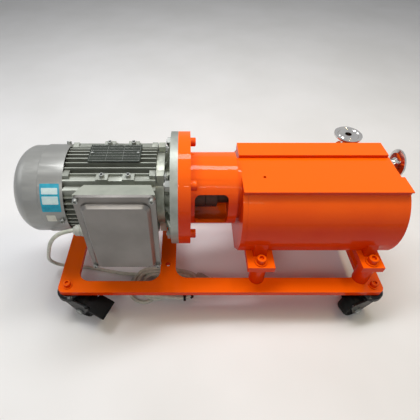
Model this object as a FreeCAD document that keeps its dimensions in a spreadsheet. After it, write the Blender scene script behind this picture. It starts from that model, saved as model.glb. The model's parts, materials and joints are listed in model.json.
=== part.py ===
import FreeCAD, Part
import math
import os

import Sketcher
from FreeCAD import Placement, Rotation, Vector

# Dry claw vacuum pump on a wheeled base frame, driven by a flanged motor.
# All pieces are drawn about the drive shaft: X runs along it from the motor to the pump, Z is up,
# and X = 0 is the joint between the motor flange and the bell housing.
# Every piece is then placed so that the origin is on the floor, under the middle of the machine.

SIZES = [
    ("plate_thick", 10, "base frame plate"),
    ("plate_left", 221, "plate end beyond X = 0, motor side"),
    ("plate_right", 372, "plate end beyond X = 0, pump side"),
    ("plate_half", 137, "half width of the plate"),
    ("plate_corner", 12, "outer corner radius of the plate"),
    ("axis_rise", 130, "shaft axis above the plate"),
    ("opening_corner", 22, "corner radius of the two plate openings"),
    ("end_rail", 33, "width of the plate at its motor end"),
    ("side_rail", 24, "width of the plate beside the motor opening"),
    ("cross_left", 36, "motor opening ends this far before X = 0"),
    ("cross_right", 7, "pump opening starts this far before X = 0"),
    ("pump_rail", 31, "width of the plate beside the pump opening"),
    ("pump_end_rail", 36, "width of the plate at its pump end"),
    ("tie_hole_dia", 9, "free hole in the cross rail"),
    ("tie_hole_y", 76, "free hole from the middle"),
    ("tie_hole_x", 22, "free hole before X = 0"),
    ("pedestal_dia", 28, "round foot pedestal"),
    ("pedestal_y", 106, "pedestals under the feet, from the middle"),
    ("foot_left_x", 143, "foot screws at the motor end of the pump"),
    ("foot_right_x", 336, "foot screws at the far end of the pump"),
    ("foot_y", 110, "foot screws from the middle"),
    ("foot_left_len", 47, "cast foot along X"),
    ("foot_right_len", 38, "cast foot along X"),
    ("foot_thick", 12, "cast foot"),
    ("foot_drop", 74, "top of the feet below the shaft axis"),
    ("foot_reach", 123, "front edge of the feet from the middle"),
    ("leg_foot", 98.6, "outer face of the legs at the feet"),
    ("leg_top", 92, "outer face of the legs at their top"),
    ("leg_rise", 34, "legs above the top of the feet"),
    ("foot_screw", 10, "foot screw thread"),
    ("caster_screw", 8, "caster screw thread"),
    ("caster_left_x", 204, "caster axes before X = 0"),
    ("caster_right_x", 355.5, "caster axes beyond X = 0"),
    ("caster_y", 122.3, "caster axes from the middle"),
    ("caster_rise", 65, "overall height of a caster"),
    ("wheel_dia", 50, "caster wheel"),
    ("wheel_width", 24, "caster wheel"),
    ("caster_trail", 26, "wheel axle behind the swivel axis"),
    ("cup_dia", 44, "swivel bearing cup"),
    ("cup_height", 8, "swivel bearing cup"),
    ("fork_sheet", 3, "pressed fork"),
    ("fork_gap", 1, "between wheel and fork cheek"),
    ("axle_dia", 8, "wheel axle"),
    ("pedal_width", 38, "brake pedal"),
    ("pedal_reach", 36, "brake pedal beyond its pin"),
    ("pedal_pin_x", 18, "pedal pin behind the wheel axle"),
    ("pedal_pin_z", 24, "pedal pin above the wheel axle"),
    ("flange_dia", 200, "motor flange and bell flange"),
    ("flange_thick", 12.5, "motor flange"),
    ("flange_circle", 165, "bolt circle of the flange"),
    ("spigot_dia", 130, "motor spigot"),
    ("spigot_rise", 3.5, "motor spigot"),
    ("flange_screw", 10, "flange bolt thread"),
    ("shield_len", 23.5, "end shield behind the flange"),
    ("shield_dia", 128, "end shield"),
    ("waist_dia", 106, "end shield between its ring and the flange"),
    ("flange_ribs", 16, "ribs from the shield to the flange"),
    ("rib_thick", 3, "ribs from the shield to the flange"),
    ("frame_len", 148, "finned motor frame"),
    ("frame_dia", 122, "motor frame under the fins"),
    ("frame_bore", 104, "stator seat"),
    ("fin_dia", 150, "motor over its fins"),
    ("fin_thick", 2.2, "cooling fin"),
    ("fin_pitch", 9.3, "cooling fin spacing"),
    ("fins_side", 4, "fins each side of the middle one"),
    ("rail_y", 44, "foot rail of the motor frame from the middle"),
    ("rail_width", 13, "foot rail"),
    ("rail_rise", 61, "foot rail face from the axis"),
    ("boss_len", 19, "screw boss on the rail"),
    ("boss_rise", 4, "screw boss above the rail"),
    ("boss_near", 79, "screw boss before X = 0"),
    ("boss_far", 121, "screw boss before X = 0"),
    ("lug_len", 10, "end shield lugs"),
    ("lug_gap", 1.5, "between the lugs of frame and shield"),
    ("lug_y", 38, "end shield lugs from the middle"),
    ("shield_screw", 6, "end shield bolts"),
    ("cowl_dia", 156, "fan cowl"),
    ("cowl_len", 40, "fan cowl up to its step"),
    ("cowl_step", 1.5, "drop at the step"),
    ("cowl_back", 24, "fan cowl behind the step"),
    ("cowl_dome", 27, "rounded end of the cowl"),
    ("cowl_wall", 1.6, "fan cowl"),
    ("cowl_screws", 3, "screws round the fan cowl"),
    ("shaft_dia", 19, "motor shaft end"),
    ("shaft_reach", 40, "motor shaft end"),
    ("seat_dia", 20, "motor bearing seat"),
    ("motor_bearing_dia", 47, "motor bearing"),
    ("motor_bearing_width", 14, "motor bearing"),
    ("core_len", 75, "stator and rotor core"),
    ("core_far", 148, "core end before X = 0"),
    ("stator_hole", 65, "stator hole"),
    ("air_gap", 0.4, "rotor in the stator"),
    ("winding_len", 20, "winding overhang"),
    ("fan_dia", 124, "cooling fan"),
    ("fan_blades", 8, "cooling fan"),
    ("box_left", 150, "terminal box before X = 0"),
    ("box_right", 31, "terminal box before X = 0"),
    ("box_half", 85, "half height of the terminal box"),
    ("box_taper", 9, "terminal box narrows to its root"),
    ("box_root", 64, "root of the box from the axis"),
    ("box_face", 107, "seam of the box from the axis"),
    ("box_wall", 4, "terminal box"),
    ("box_corner", 8, "corner radius of the box"),
    ("lid_thick", 5, "rim of the terminal cover"),
    ("lid_rise", 7, "raised panel of the cover"),
    ("lid_border", 8, "rim around the raised panel"),
    ("small_screw", 5, "motor and cover screws"),
    ("screw_len", 8, "motor and cover screws"),
    ("screw_inset", 5.5, "cover screws from the edges of the cover"),
    ("gland_y", 98, "cable gland from the axis"),
    ("gland_z", 3, "cable gland below the axis"),
    ("gland_dia", 20, "cable gland"),
    ("gland_len", 19, "cable gland"),
    ("cable_dia", 7, "motor cable"),
    ("coil_len", 142, "put away cable"),
    ("coil_width", 77, "put away cable"),
    ("coil_band", 17, "put away cable, width of its turns"),
    ("coil_height", 21, "put away cable"),
    ("tie_thick", 1.5, "strap round the put away cable"),
    ("tie_width", 6, "strap round the put away cable"),
    ("plug_tail", 8, "strain relief of the plug"),
    ("plug_waist", 20, "narrow part of the plug"),
    ("plug_grip", 14, "wide part of the plug"),
    ("plug_step", 4, "wide part beyond the narrow part, each side"),
    ("plug_width", 26, "plug"),
    ("plug_height", 17, "plug"),
    ("plug_pin", 19, "plug pins"),
    ("plug_pin_dia", 4.8, "plug pins"),
    ("plug_pitch", 16, "plug pins"),
    ("bell_flange", 20, "bell housing flange"),
    ("bell_dia", 128, "bell housing tube"),
    ("bell_wall", 8, "bell housing tube"),
    ("bell_len", 98, "bell housing tube end"),
    ("bell_neck", 6.8, "neck between the tube and the pump"),
    ("bell_neck_dia", 108, "neck between the tube and the pump"),
    ("window_start", 27, "bell window"),
    ("window_end", 83, "bell window"),
    ("window_half", 34, "bell window above and below the axis"),
    ("window_corner", 9, "bell window"),
    ("hub_dia", 68, "motor coupling hub"),
    ("small_hub_dia", 54, "pump coupling hub"),
    ("hub_start", 12, "motor coupling hub"),
    ("hub_end", 46, "motor coupling hub"),
    ("jaw_len", 12, "coupling jaws"),
    ("jaw_play", 0.3, "coupling jaws to the spider"),
    ("small_hub_end", 88, "pump coupling hub"),
    ("pump_len", 270.2, "pump over its end covers"),
    ("cover_band", 8, "rim of each end cover"),
    ("deck_rise", 49, "top deck above the axis"),
    ("deck_half", 64, "half width of the top deck"),
    ("deck_thick", 6, "top cover"),
    ("deck_undercut", 4, "top cover edge"),
    ("rib_rise", 6, "raised strip on the top cover"),
    ("rib_start", 24, "raised strip"),
    ("rib_end", 61, "raised strip"),
    ("notch_depth", 8.4, "notch in the top cover"),
    ("notch_front", 27, "notch in the top cover"),
    ("belly_half", 95, "widest half width of the casing"),
    ("belly_z", 28, "widest place below the axis"),
    ("knee_y", 84, "lower end of the side arc"),
    ("knee_z", 75, "lower end of the side arc"),
    ("keel_half", 55, "flat bottom of the casing"),
    ("keel_z", 105, "flat bottom of the casing below the axis"),
    ("centre_gap", 56, "distance of the two rotor shafts"),
    ("rotor_dia", 74, "claw rotors over their tips"),
    ("rotor_play", 0.3, "claw rotors to each other and to the casing"),
    ("claws", 2, "claws on a rotor"),
    ("claw_tip", 30, "angle of a claw tip"),
    ("pump_shaft_dia", 28, "rotor shafts"),
    ("coupling_end_dia", 24, "pump shaft in its coupling hub"),
    ("gear_module", 2, "timing gears"),
    ("gear_width", 18, "timing gears"),
    ("gear_play", 0.35, "timing gear backlash"),
    ("gear_room", 32, "gear chamber along X"),
    ("bearing_wall", 22, "wall between gears and rotors"),
    ("pump_bearing_dia", 47, "pump bearings"),
    ("pump_bearing_width", 12, "pump bearings"),
    ("seal_width", 7, "shaft seals"),
    ("stage_wall", 12, "walls between the stages"),
    ("first_stage", 66, "widest claw stage"),
    ("second_stage", 53, "middle claw stage"),
    ("third_stage", 42, "narrow claw stage"),
    ("fit_play", 0.05, "radial clearance of a running fit"),
    ("ferrule_dia", 50.5, "clamp ferrule"),
    ("ferrule_thick", 2.9, "clamp ferrule"),
    ("stem_dia", 16, "pipe stub"),
    ("stem_bore", 12, "pipe stub"),
    ("inlet_x", 316, "inlet stub beyond X = 0"),
    ("inlet_y", 87, "inlet stub behind the axis"),
    ("inlet_top", 56, "inlet face above the axis"),
    ("inlet_boss", 30, "top of the inlet boss above the axis"),
    ("outlet_y", 26, "outlet stub behind the axis"),
    ("outlet_z", 35, "outlet stub above the axis"),
    ("outlet_reach", 16, "outlet face beyond the pump"),
]

doc = FreeCAD.newDocument("ClawPump")
sheet = doc.addObject("Spreadsheet::Sheet", "Sizes")
for row, (alias, number, note) in enumerate(SIZES, 1):
    sheet.set(f"A{row}", note)
    sheet.set(f"B{row}", str(number))
    sheet.setAlias(f"B{row}", alias)
doc.recompute()


class Size:
    """A number together with the sheet formula that gives it."""

    def __init__(self, number, formula):
        self.number = float(number)
        self.formula = formula

    def __add__(self, other):
        other = as_size(other)
        return Size(self.number + other.number, f"({self.formula} + {other.formula})")

    def __sub__(self, other):
        other = as_size(other)
        return Size(self.number - other.number, f"({self.formula} - {other.formula})")

    def __mul__(self, other):
        other = as_size(other)
        return Size(self.number * other.number, f"({self.formula} * {other.formula})")

    def __truediv__(self, other):
        other = as_size(other)
        return Size(self.number / other.number, f"({self.formula} / {other.formula})")

    def __neg__(self):
        return Size(-self.number, f"(0 - {self.formula})")

    def __radd__(self, other):
        return as_size(other) + self

    def __rsub__(self, other):
        return as_size(other) - self

    def __rmul__(self, other):
        return as_size(other) * self

    def __float__(self):
        return self.number


def as_size(value):
    return value if isinstance(value, Size) else Size(value, str(value))


def root(value):
    return Size(math.sqrt(value.number), f"sqrt({value.formula})")


def cosine(angle):
    angle = as_size(angle)
    return Size(math.cos(math.radians(angle.number)), f"cos({angle.formula} * 1 deg)")


def sine(angle):
    angle = as_size(angle)
    return Size(math.sin(math.radians(angle.number)), f"sin({angle.formula} * 1 deg)")


class Driving:
    """Gives each cell of the sheet by its alias."""

    def __getattr__(self, alias):
        return Size(sheet.get(alias), f"Sizes.{alias}")


s = Driving()

# Places that several pieces share.
pump_start = s.bell_len + s.bell_neck
pump_end = pump_start + s.pump_len
frame_start = -(s.flange_thick + s.shield_len)
frame_end = frame_start - s.frame_len
step_x = frame_end - s.cowl_len
dome_x = step_x - s.cowl_back
motor_end = dome_x - s.cowl_dome
outlet_face = pump_end + s.outlet_reach
shift_x = -(motor_end + outlet_face) / 2
axis_height = s.axis_rise + s.plate_thick + s.caster_rise
plate_top = -s.axis_rise
plate_under = plate_top - s.plate_thick
floor_z = plate_under - s.caster_rise
rotor_r = s.rotor_dia / 2
pitch_r = s.centre_gap / 2
gear_wall_x = pump_start + s.cover_band + s.gear_room
chamber_x = gear_wall_x + s.bearing_wall
chamber_len = s.first_stage + s.second_stage + s.third_stage + s.stage_wall * 2
chamber_end = chamber_x + chamber_len

pieces = {}


def bind(thing, prop, value):
    value = as_size(value)
    thing.setExpression(prop, value.formula)


def place(thing, x=0, y=0, z=0):
    """Moves a piece, drawn about the shaft, to its place on the floor."""
    bind(thing, "Placement.Base.x", shift_x + x)
    bind(thing, "Placement.Base.y", as_size(y))
    bind(thing, "Placement.Base.z", axis_height + z)


def keep(thing, label):
    thing.Label = label
    pieces[label] = thing
    return thing


def new_body(label, x=0, y=0, z=0):
    body = doc.addObject("PartDesign::Body", label)
    body.AllowCompound = True
    place(body, x, y, z)
    return keep(body, label)


def new_sketch(body, plane, offset=0):
    sketch = body.newObject("Sketcher::SketchObject", body.Name + "_sketch")
    for feature in body.Origin.OriginFeatures:
        if feature.Role == plane:
            sketch.AttachmentSupport = [(feature, "")]
    sketch.MapMode = "FlatFace"
    bind(sketch, "AttachmentOffset.Base.z", as_size(offset))
    return sketch


def fix(sketch, kind, geometry, point, value):
    """Holds one coordinate of a point, or a radius, at a size."""
    value = as_size(value)
    if kind == "Radius":
        constraint = Sketcher.Constraint(kind, geometry, value.number)
    else:
        constraint = Sketcher.Constraint(kind, geometry, point, value.number)
    index = sketch.addConstraint(constraint)
    if "Sizes." in value.formula:
        sketch.setExpression(f"Constraints[{index}]", value.formula)


def polygon(sketch, points):
    """A closed outline. An entry of four values is an arc end: x, y, and a point on the arc before it."""
    ends = [Vector(float(point[0]), float(point[1]), 0) for point in points]
    for index, point in enumerate(points):
        previous, before, after = points[index - 1], ends[index - 1], ends[index]
        start, finish = 1, 2
        edge = Part.LineSegment(before, after)
        if len(point) == 4:
            middle = Vector(float(point[2]), float(point[3]), 0)
            clockwise = (middle - before).cross(after - middle).z < 0
            edge = Part.Arc(after, middle, before) if clockwise else Part.Arc(before, middle, after)
            start, finish = (2, 1) if clockwise else (1, 2)
        number = sketch.addGeometry(edge, False)
        fix(sketch, "DistanceX", number, start, previous[0])
        fix(sketch, "DistanceY", number, start, previous[1])
        fix(sketch, "DistanceX", number, finish, point[0])
        fix(sketch, "DistanceY", number, finish, point[1])
        if len(point) == 4:
            fix(sketch, "Radius", number, 0, arc_radius(previous, point))


def arc_radius(start, arc_end):
    """Radius of the arc through the middle point that an outline entry gives."""
    ax = as_size(arc_end[2]) - start[0]
    ay = as_size(arc_end[3]) - start[1]
    bx = as_size(arc_end[0]) - arc_end[2]
    by = as_size(arc_end[1]) - arc_end[3]
    cx = as_size(arc_end[0]) - start[0]
    cy = as_size(arc_end[1]) - start[1]
    side_a = root(ax * ax + ay * ay)
    side_b = root(bx * bx + by * by)
    side_c = root(cx * cx + cy * cy)
    twice_area = ax * by - ay * bx
    if twice_area.number < 0:
        twice_area = -twice_area
    return side_a * side_b * side_c / (twice_area * 2)


def circle(sketch, x, y, radius):
    centre = Vector(float(x), float(y), 0)
    number = sketch.addGeometry(Part.Circle(centre, Vector(0, 0, 1), float(radius)), False)
    fix(sketch, "DistanceX", number, 3, x)
    fix(sketch, "DistanceY", number, 3, y)
    fix(sketch, "Radius", number, 0, radius)


def rectangle(sketch, x_low, y_low, x_high, y_high):
    polygon(sketch, [(x_low, y_low), (x_high, y_low), (x_high, y_high), (x_low, y_high)])


def feature(body, kind, sketch, length, back=False, both=False, name="step"):
    """A pad or a pocket of a sketch."""
    step = body.newObject("PartDesign::" + kind, body.Name + "_" + name)
    step.Profile = sketch
    bind(step, "Length", length)
    step.Reversed = back
    step.Midplane = both
    sketch.Visibility = False
    body.Tip = step
    doc.recompute()
    return step


def revolve(body, sketch, kind="Revolution", axis="H_Axis"):
    step = body.newObject("PartDesign::" + kind, body.Name + "_turned")
    step.Profile = sketch
    step.ReferenceAxis = (sketch, [axis])
    step.Angle = 360
    body.Tip = step
    doc.recompute()
    return step


def around(body, steps, count, axis_role="X_Axis"):
    """Repeats steps round an axis of the body."""
    pattern = body.newObject("PartDesign::PolarPattern", body.Name + "_around")
    pattern.Originals = steps
    for origin in body.Origin.OriginFeatures:
        if origin.Role == axis_role:
            pattern.Axis = (origin, [""])
    pattern.Angle = 360
    pattern.Occurrences = int(float(count))
    if isinstance(count, Size):
        bind(pattern, "Occurrences", count)
    body.Tip = pattern
    doc.recompute()
    return pattern


def soften(body, radius, chosen, kind="Fillet"):
    """Rounds or chamfers the edges of the last step that a test picks out."""
    base = body.Tip
    names = [f"Edge{n}" for n, edge in enumerate(base.Shape.Edges, 1) if chosen(edge)]
    step = body.newObject("PartDesign::" + kind, body.Name + "_soft")
    step.Base = (base, names)
    bind(step, "Radius" if kind == "Fillet" else "Size", radius)
    body.Tip = step
    doc.recompute()
    return step


def turned(label, profile, y=0, z=0):
    """A piece turned about an axis along X. The profile is pairs of X and radius."""
    body = new_body(label, 0, y, z)
    sketch = new_sketch(body, "XZ_Plane")
    polygon(sketch, profile)
    revolve(body, sketch)
    return body


def copies(label, master, places):
    """Separate copies of a drawn piece. Each place is an offset and a turn about Z, or a placement."""
    shapes = []
    for spot in places:
        shape = master.Shape.copy()
        shape.Placement = spot
        shapes.append(shape)
    group = doc.addObject("Part::Feature", label)
    group.Shape = Part.makeCompound(shapes)
    place(group)
    return keep(group, label)


def at(x, y, z, turn=None):
    return Placement(Vector(float(x), float(y), float(z)), turn or Rotation())


def along_edge(edge, axis):
    """True for a straight edge along an axis."""
    if len(edge.Vertexes) < 2 or edge.Curve.TypeId != "Part::GeomLine":
        return False
    run = edge.Vertexes[1].Point - edge.Vertexes[0].Point
    return abs(abs(run.normalize().dot(axis)) - 1) < 1e-6


def cap_screw(name, thread, length, washer=0):
    """A socket head screw along Z whose head stands on Z = 0, with a washer where one is given."""
    body = doc.addObject("PartDesign::Body", name)
    thread = as_size(thread)
    head_r = thread * 0.8
    lift = thread * 0.2 if washer else as_size(0)
    sketch = new_sketch(body, "XZ_Plane")
    points = [(0, -as_size(length)), (thread / 2, -as_size(length)), (thread / 2, 0)]
    if washer:
        points += [(thread * 1.1, 0), (thread * 1.1, lift), (head_r, lift)]
    else:
        points += [(head_r, 0)]
    chamfer = thread * 0.1
    points += [(head_r, lift + thread - chamfer), (head_r - chamfer, lift + thread), (0, lift + thread)]
    polygon(sketch, points)
    revolve(body, sketch, axis="V_Axis")
    socket = new_sketch(body, "XY_Plane", lift + thread)
    hexagon(socket, 0, 0, thread * 0.46)
    feature(body, "Pocket", socket, thread * 0.5, name="socket")
    return body


def hexagon(sketch, x, y, radius):
    corners = []
    for corner in range(6):
        angle = 60 * corner
        corners.append((x + as_size(radius) * cosine(angle), y + as_size(radius) * sine(angle)))
    polygon(sketch, corners)


X_AXIS, Y_AXIS, Z_AXIS = Vector(1, 0, 0), Vector(0, 1, 0), Vector(0, 0, 1)
FOOT_SPOTS = [(s.foot_left_x, s.foot_left_len), (s.foot_right_x, s.foot_right_len)]
CASTERS = {
    "front_left": (-s.caster_left_x, -s.caster_y, -24),
    "front_right": (s.caster_right_x, -s.caster_y, 200),
    "back_left": (-s.caster_left_x, s.caster_y, 24),
    "back_right": (s.caster_right_x, s.caster_y, 160),
}


def base_frame():
    body = new_body("base_frame")
    plate = new_sketch(body, "XY_Plane", plate_under)
    rectangle(plate, -s.plate_left, -s.plate_half, s.plate_right, s.plate_half)
    feature(body, "Pad", plate, s.plate_thick, name="plate")
    soften(body, s.plate_corner, lambda edge: along_edge(edge, Z_AXIS))
    motor_half = s.plate_half - s.side_rail
    pump_half = s.plate_half - s.pump_rail
    openings = new_sketch(body, "XY_Plane", plate_top)
    rectangle(openings, s.end_rail - s.plate_left, -motor_half, -s.cross_left, motor_half)
    rectangle(openings, -s.cross_right, -pump_half, s.plate_right - s.pump_end_rail, pump_half)
    feature(body, "Pocket", openings, s.plate_thick, name="openings")
    inside = float(s.plate_half - s.side_rail / 2)
    soften(body, s.opening_corner,
           lambda edge: along_edge(edge, Z_AXIS) and abs(edge.CenterOfMass.y) < inside)
    feet = new_sketch(body, "XY_Plane", plate_top)
    for foot_x, _ in FOOT_SPOTS:
        for side in (-1, 1):
            circle(feet, foot_x, s.pedestal_y * side, s.pedestal_dia / 2)
    feature(body, "Pad", feet, s.axis_rise - s.foot_drop - s.foot_thick, name="pedestals")
    holes = new_sketch(body, "XY_Plane", plate_top)
    for x, y, _ in CASTERS.values():
        circle(holes, x, y, s.caster_screw / 2 + s.fit_play * 6)
    for side in (-1, 1):
        circle(holes, -s.tie_hole_x, s.tie_hole_y * side, s.tie_hole_dia / 2)
    feature(body, "Pocket", holes, s.plate_thick, name="holes")
    threads = new_sketch(body, "XY_Plane", -s.foot_drop - s.foot_thick)
    for foot_x, _ in FOOT_SPOTS:
        for side in (-1, 1):
            circle(threads, foot_x, s.foot_y * side, s.foot_screw / 2)
    feature(body, "Pocket", threads, s.foot_screw * 2.5, name="threads")
    return body


def casing_outline(sketch, top_half, top_z):
    """The belly of the casing, seen along the shaft, with a neck under the top cover."""
    neck_z = top_z - s.deck_undercut
    polygon(sketch, [
        (-top_half, top_z), (-top_half, neck_z), (-s.knee_y, -s.knee_z, -s.belly_half, -s.belly_z),
        (-s.keel_half, -s.keel_z), (s.keel_half, -s.keel_z), (s.knee_y, -s.knee_z),
        (top_half, neck_z, s.belly_half, -s.belly_z), (top_half, top_z)])


def bore(body, x, length, radius, places, name, back=True):
    """Round pockets from the plane at x, towards the pump end where back is set."""
    for y, z in places:
        sketch = new_sketch(body, "YZ_Plane", x)
        circle(sketch, y, z, radius)
        feature(body, "Pocket", sketch, length, back=back, name=name)


SHAFTS = [(0, 0), (0, -s.centre_gap)]
casing_top = s.deck_rise - s.deck_thick
casing_top_half = s.deck_half - s.deck_undercut
casing_start = pump_start + s.cover_band
casing_end = pump_end - s.cover_band


def pump_casing():
    body = new_body("pump_casing")
    outline = new_sketch(body, "YZ_Plane", casing_start)
    casing_outline(outline, casing_top_half, casing_top)
    feature(body, "Pad", outline, casing_end - casing_start, name="belly")
    feet = new_sketch(body, "XY_Plane", -s.foot_drop)
    for foot_x, foot_len in FOOT_SPOTS:
        rectangle(feet, foot_x - foot_len / 2, -s.foot_reach, foot_x + foot_len / 2, s.foot_reach)
    feature(body, "Pad", feet, s.foot_thick, back=True, name="feet")
    for foot_x, foot_len in FOOT_SPOTS:
        legs = new_sketch(body, "YZ_Plane", foot_x)
        polygon(legs, [(-s.leg_foot, -s.foot_drop), (s.leg_foot, -s.foot_drop),
                       (s.leg_top, s.leg_rise - s.foot_drop), (-s.leg_top, s.leg_rise - s.foot_drop)])
        feature(body, "Pad", legs, foot_len / 2, both=True, name="legs")
    boss = new_sketch(body, "XY_Plane", s.inlet_boss)
    circle(boss, s.inlet_x, s.inlet_y, s.stem_dia)
    feature(body, "Pad", boss, s.stem_dia * 4, back=True, name="inlet_boss")
    bore(body, casing_start, s.gear_room, pitch_r + s.gear_module * 2, SHAFTS, "gear_chamber")
    bore(body, gear_wall_x, s.pump_bearing_width, s.pump_bearing_dia / 2, SHAFTS, "bearing_seat")
    bore(body, gear_wall_x, s.bearing_wall, s.pump_shaft_dia / 2 + s.rotor_play, SHAFTS, "shaft_hole")
    seal_r = s.pump_shaft_dia / 2 + s.seal_width
    bore(body, chamber_x, s.seal_width, seal_r, SHAFTS, "seal_seat", back=False)
    bore(body, chamber_x, casing_end - chamber_x, rotor_r + s.rotor_play, SHAFTS, "rotor_chamber")
    inlet = new_sketch(body, "XY_Plane", s.inlet_boss)
    circle(inlet, s.inlet_x, s.inlet_y, s.stem_bore / 2 + 1)
    feature(body, "Pocket", inlet, s.stem_dia * 3, name="inlet_port")
    screw_holes = new_sketch(body, "XY_Plane", -s.foot_drop)
    for foot_x, _ in FOOT_SPOTS:
        for side in (-1, 1):
            circle(screw_holes, foot_x, s.foot_y * side, s.foot_screw / 2 + s.rotor_play)
    feature(body, "Pocket", screw_holes, s.foot_thick, name="foot_holes")
    return body


def front_end_cover():
    body = new_body("front_end_cover")
    outline = new_sketch(body, "YZ_Plane", pump_start)
    casing_outline(outline, casing_top_half, casing_top)
    feature(body, "Pad", outline, s.cover_band, name="plate")
    bore(body, pump_start, s.cover_band, s.pump_shaft_dia / 2 + s.rotor_play, SHAFTS[:1], "shaft_hole")
    seal_r = s.pump_shaft_dia / 2 + s.seal_width
    bore(body, casing_start - s.seal_width, s.seal_width, seal_r, SHAFTS[:1], "seal_seat")
    return body


def rear_end_cover():
    body = new_body("rear_end_cover")
    outline = new_sketch(body, "YZ_Plane", casing_end)
    casing_outline(outline, casing_top_half, casing_top)
    feature(body, "Pad", outline, s.cover_band, name="plate")
    for y, z in SHAFTS:
        plug = new_sketch(body, "YZ_Plane", chamber_end)
        circle(plug, y, z, rotor_r)
        feature(body, "Pad", plug, casing_end - chamber_end, name="plug")
    bore(body, chamber_end, s.pump_bearing_width, s.pump_bearing_dia / 2, SHAFTS, "bearing_seat")
    bore(body, casing_end, s.cover_band, s.stem_bore / 2 + 1, [(s.outlet_y, s.outlet_z)], "outlet_port")
    return body


def top_cover():
    body = new_body("top_cover")
    outline = new_sketch(body, "YZ_Plane", pump_start)
    strip_z = s.deck_rise + s.rib_rise
    polygon(outline, [
        (-casing_top_half, casing_top), (casing_top_half, casing_top), (s.rib_end, casing_top + 3),
        (s.rib_end, strip_z), (s.rib_start, strip_z), (s.rib_start, s.deck_rise),
        (-s.deck_half, s.deck_rise), (-s.deck_half, s.deck_rise - 2)])
    feature(body, "Pad", outline, s.pump_len, name="plate")
    notch = new_sketch(body, "XY_Plane", strip_z)
    rectangle(notch, pump_end - s.notch_depth, -s.notch_front, pump_end, s.deck_half)
    feature(body, "Pocket", notch, s.rib_rise + s.deck_thick, name="notch")
    vent = new_sketch(body, "XY_Plane", s.deck_rise)
    circle(vent, s.foot_left_x, -s.notch_front, 2.5)
    feature(body, "Pocket", vent, s.deck_thick, name="vent")
    return body


def stage_plates():
    """Two walls between the three claw stages, each a figure eight round both shafts."""
    body = new_body("stage_plates")
    first = chamber_x + s.first_stage
    second = first + s.stage_wall + s.second_stage
    for x in (first, second):
        for y, z in SHAFTS:
            sketch = new_sketch(body, "YZ_Plane", x)
            circle(sketch, y, z, rotor_r + s.rotor_play)
            feature(body, "Pad", sketch, s.stage_wall, name="wall")
    bore(body, chamber_x, chamber_len, s.pump_shaft_dia / 2 + s.rotor_play, SHAFTS, "shaft_hole")
    return body


def claw_outline():
    """Half of a claw rotor as points: the hook, the tip, the back flank and the next pocket."""
    gap, tip, pitch = float(s.centre_gap), float(rotor_r), float(pitch_r)
    low = gap - tip
    alpha = math.radians(float(s.claw_tip))
    steps = 7

    def trochoid(radius, turn):
        x = gap * math.cos(turn) - radius * math.cos(2 * turn)
        y = gap * math.sin(turn) - radius * math.sin(2 * turn)
        return math.hypot(x, y), math.atan2(y, x)

    hook_turn = math.acos(gap / (2 * tip))
    entry_turn = math.acos((gap ** 2 + tip ** 2 - pitch ** 2) / (2 * gap * tip))
    back_turn = math.acos((gap ** 2 + pitch ** 2 - tip ** 2) / (2 * gap * pitch))
    hook = [trochoid(tip, -hook_turn * k / steps) for k in range(steps + 1)]
    tip_arc = [(tip, alpha * k / 4) for k in range(1, 5)]
    lead = trochoid(pitch, back_turn)[1]
    back = []
    for k in range(steps - 1, -1, -1):
        radius, angle = trochoid(pitch, back_turn * k / steps)
        back.append((radius, alpha + lead - angle))
    entry = [trochoid(tip, entry_turn * k / steps) for k in range(steps, -1, -1)]
    entry = [(radius, angle - alpha) for radius, angle in entry]
    start = alpha + lead
    finish = 2 * math.pi / float(s.claws) + entry[0][1]
    pitch_arc = [(pitch, start + (finish - start) * k / 6) for k in range(1, 6)]
    turn = 2 * math.pi / float(s.claws)
    entry = [(radius, angle + turn) for radius, angle in entry]
    root_arc = [(low, turn - alpha + alpha * k / 3) for k in range(1, 3)]
    return hook + tip_arc + back + pitch_arc + entry + root_arc


def claw_rotors(label, z, turned_by):
    """Three claw rotors on one shaft, one for each stage."""
    points = []
    half = claw_outline()
    count = int(float(s.claws))
    for claw in range(count):
        for radius, angle in half:
            angle += 2 * math.pi * claw / count + math.radians(turned_by)
            points.append(Vector(0, radius * math.cos(angle), radius * math.sin(angle)))
    wire = Part.makePolygon(points + points[:1])
    wire = wire.makeOffset2D(-float(s.rotor_play) / 2)
    face = Part.Face(wire)
    solids = []
    x = float(chamber_x)
    play = float(s.rotor_play)
    shaft = Part.makeCylinder(float(s.pump_shaft_dia) / 2, float(chamber_len), Vector(x, 0, 0), X_AXIS)
    for width in (s.first_stage, s.second_stage, s.third_stage):
        disc = face.extrude(Vector(float(width) - 2 * play, 0, 0))
        disc.translate(Vector(x + play, 0, 0))
        solids.append(disc.cut(shaft))
        x += float(width) + float(s.stage_wall)
    piece = doc.addObject("Part::Feature", label)
    piece.Shape = Part.makeCompound(solids)
    place(piece, 0, 0, z)
    return keep(piece, label)


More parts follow.
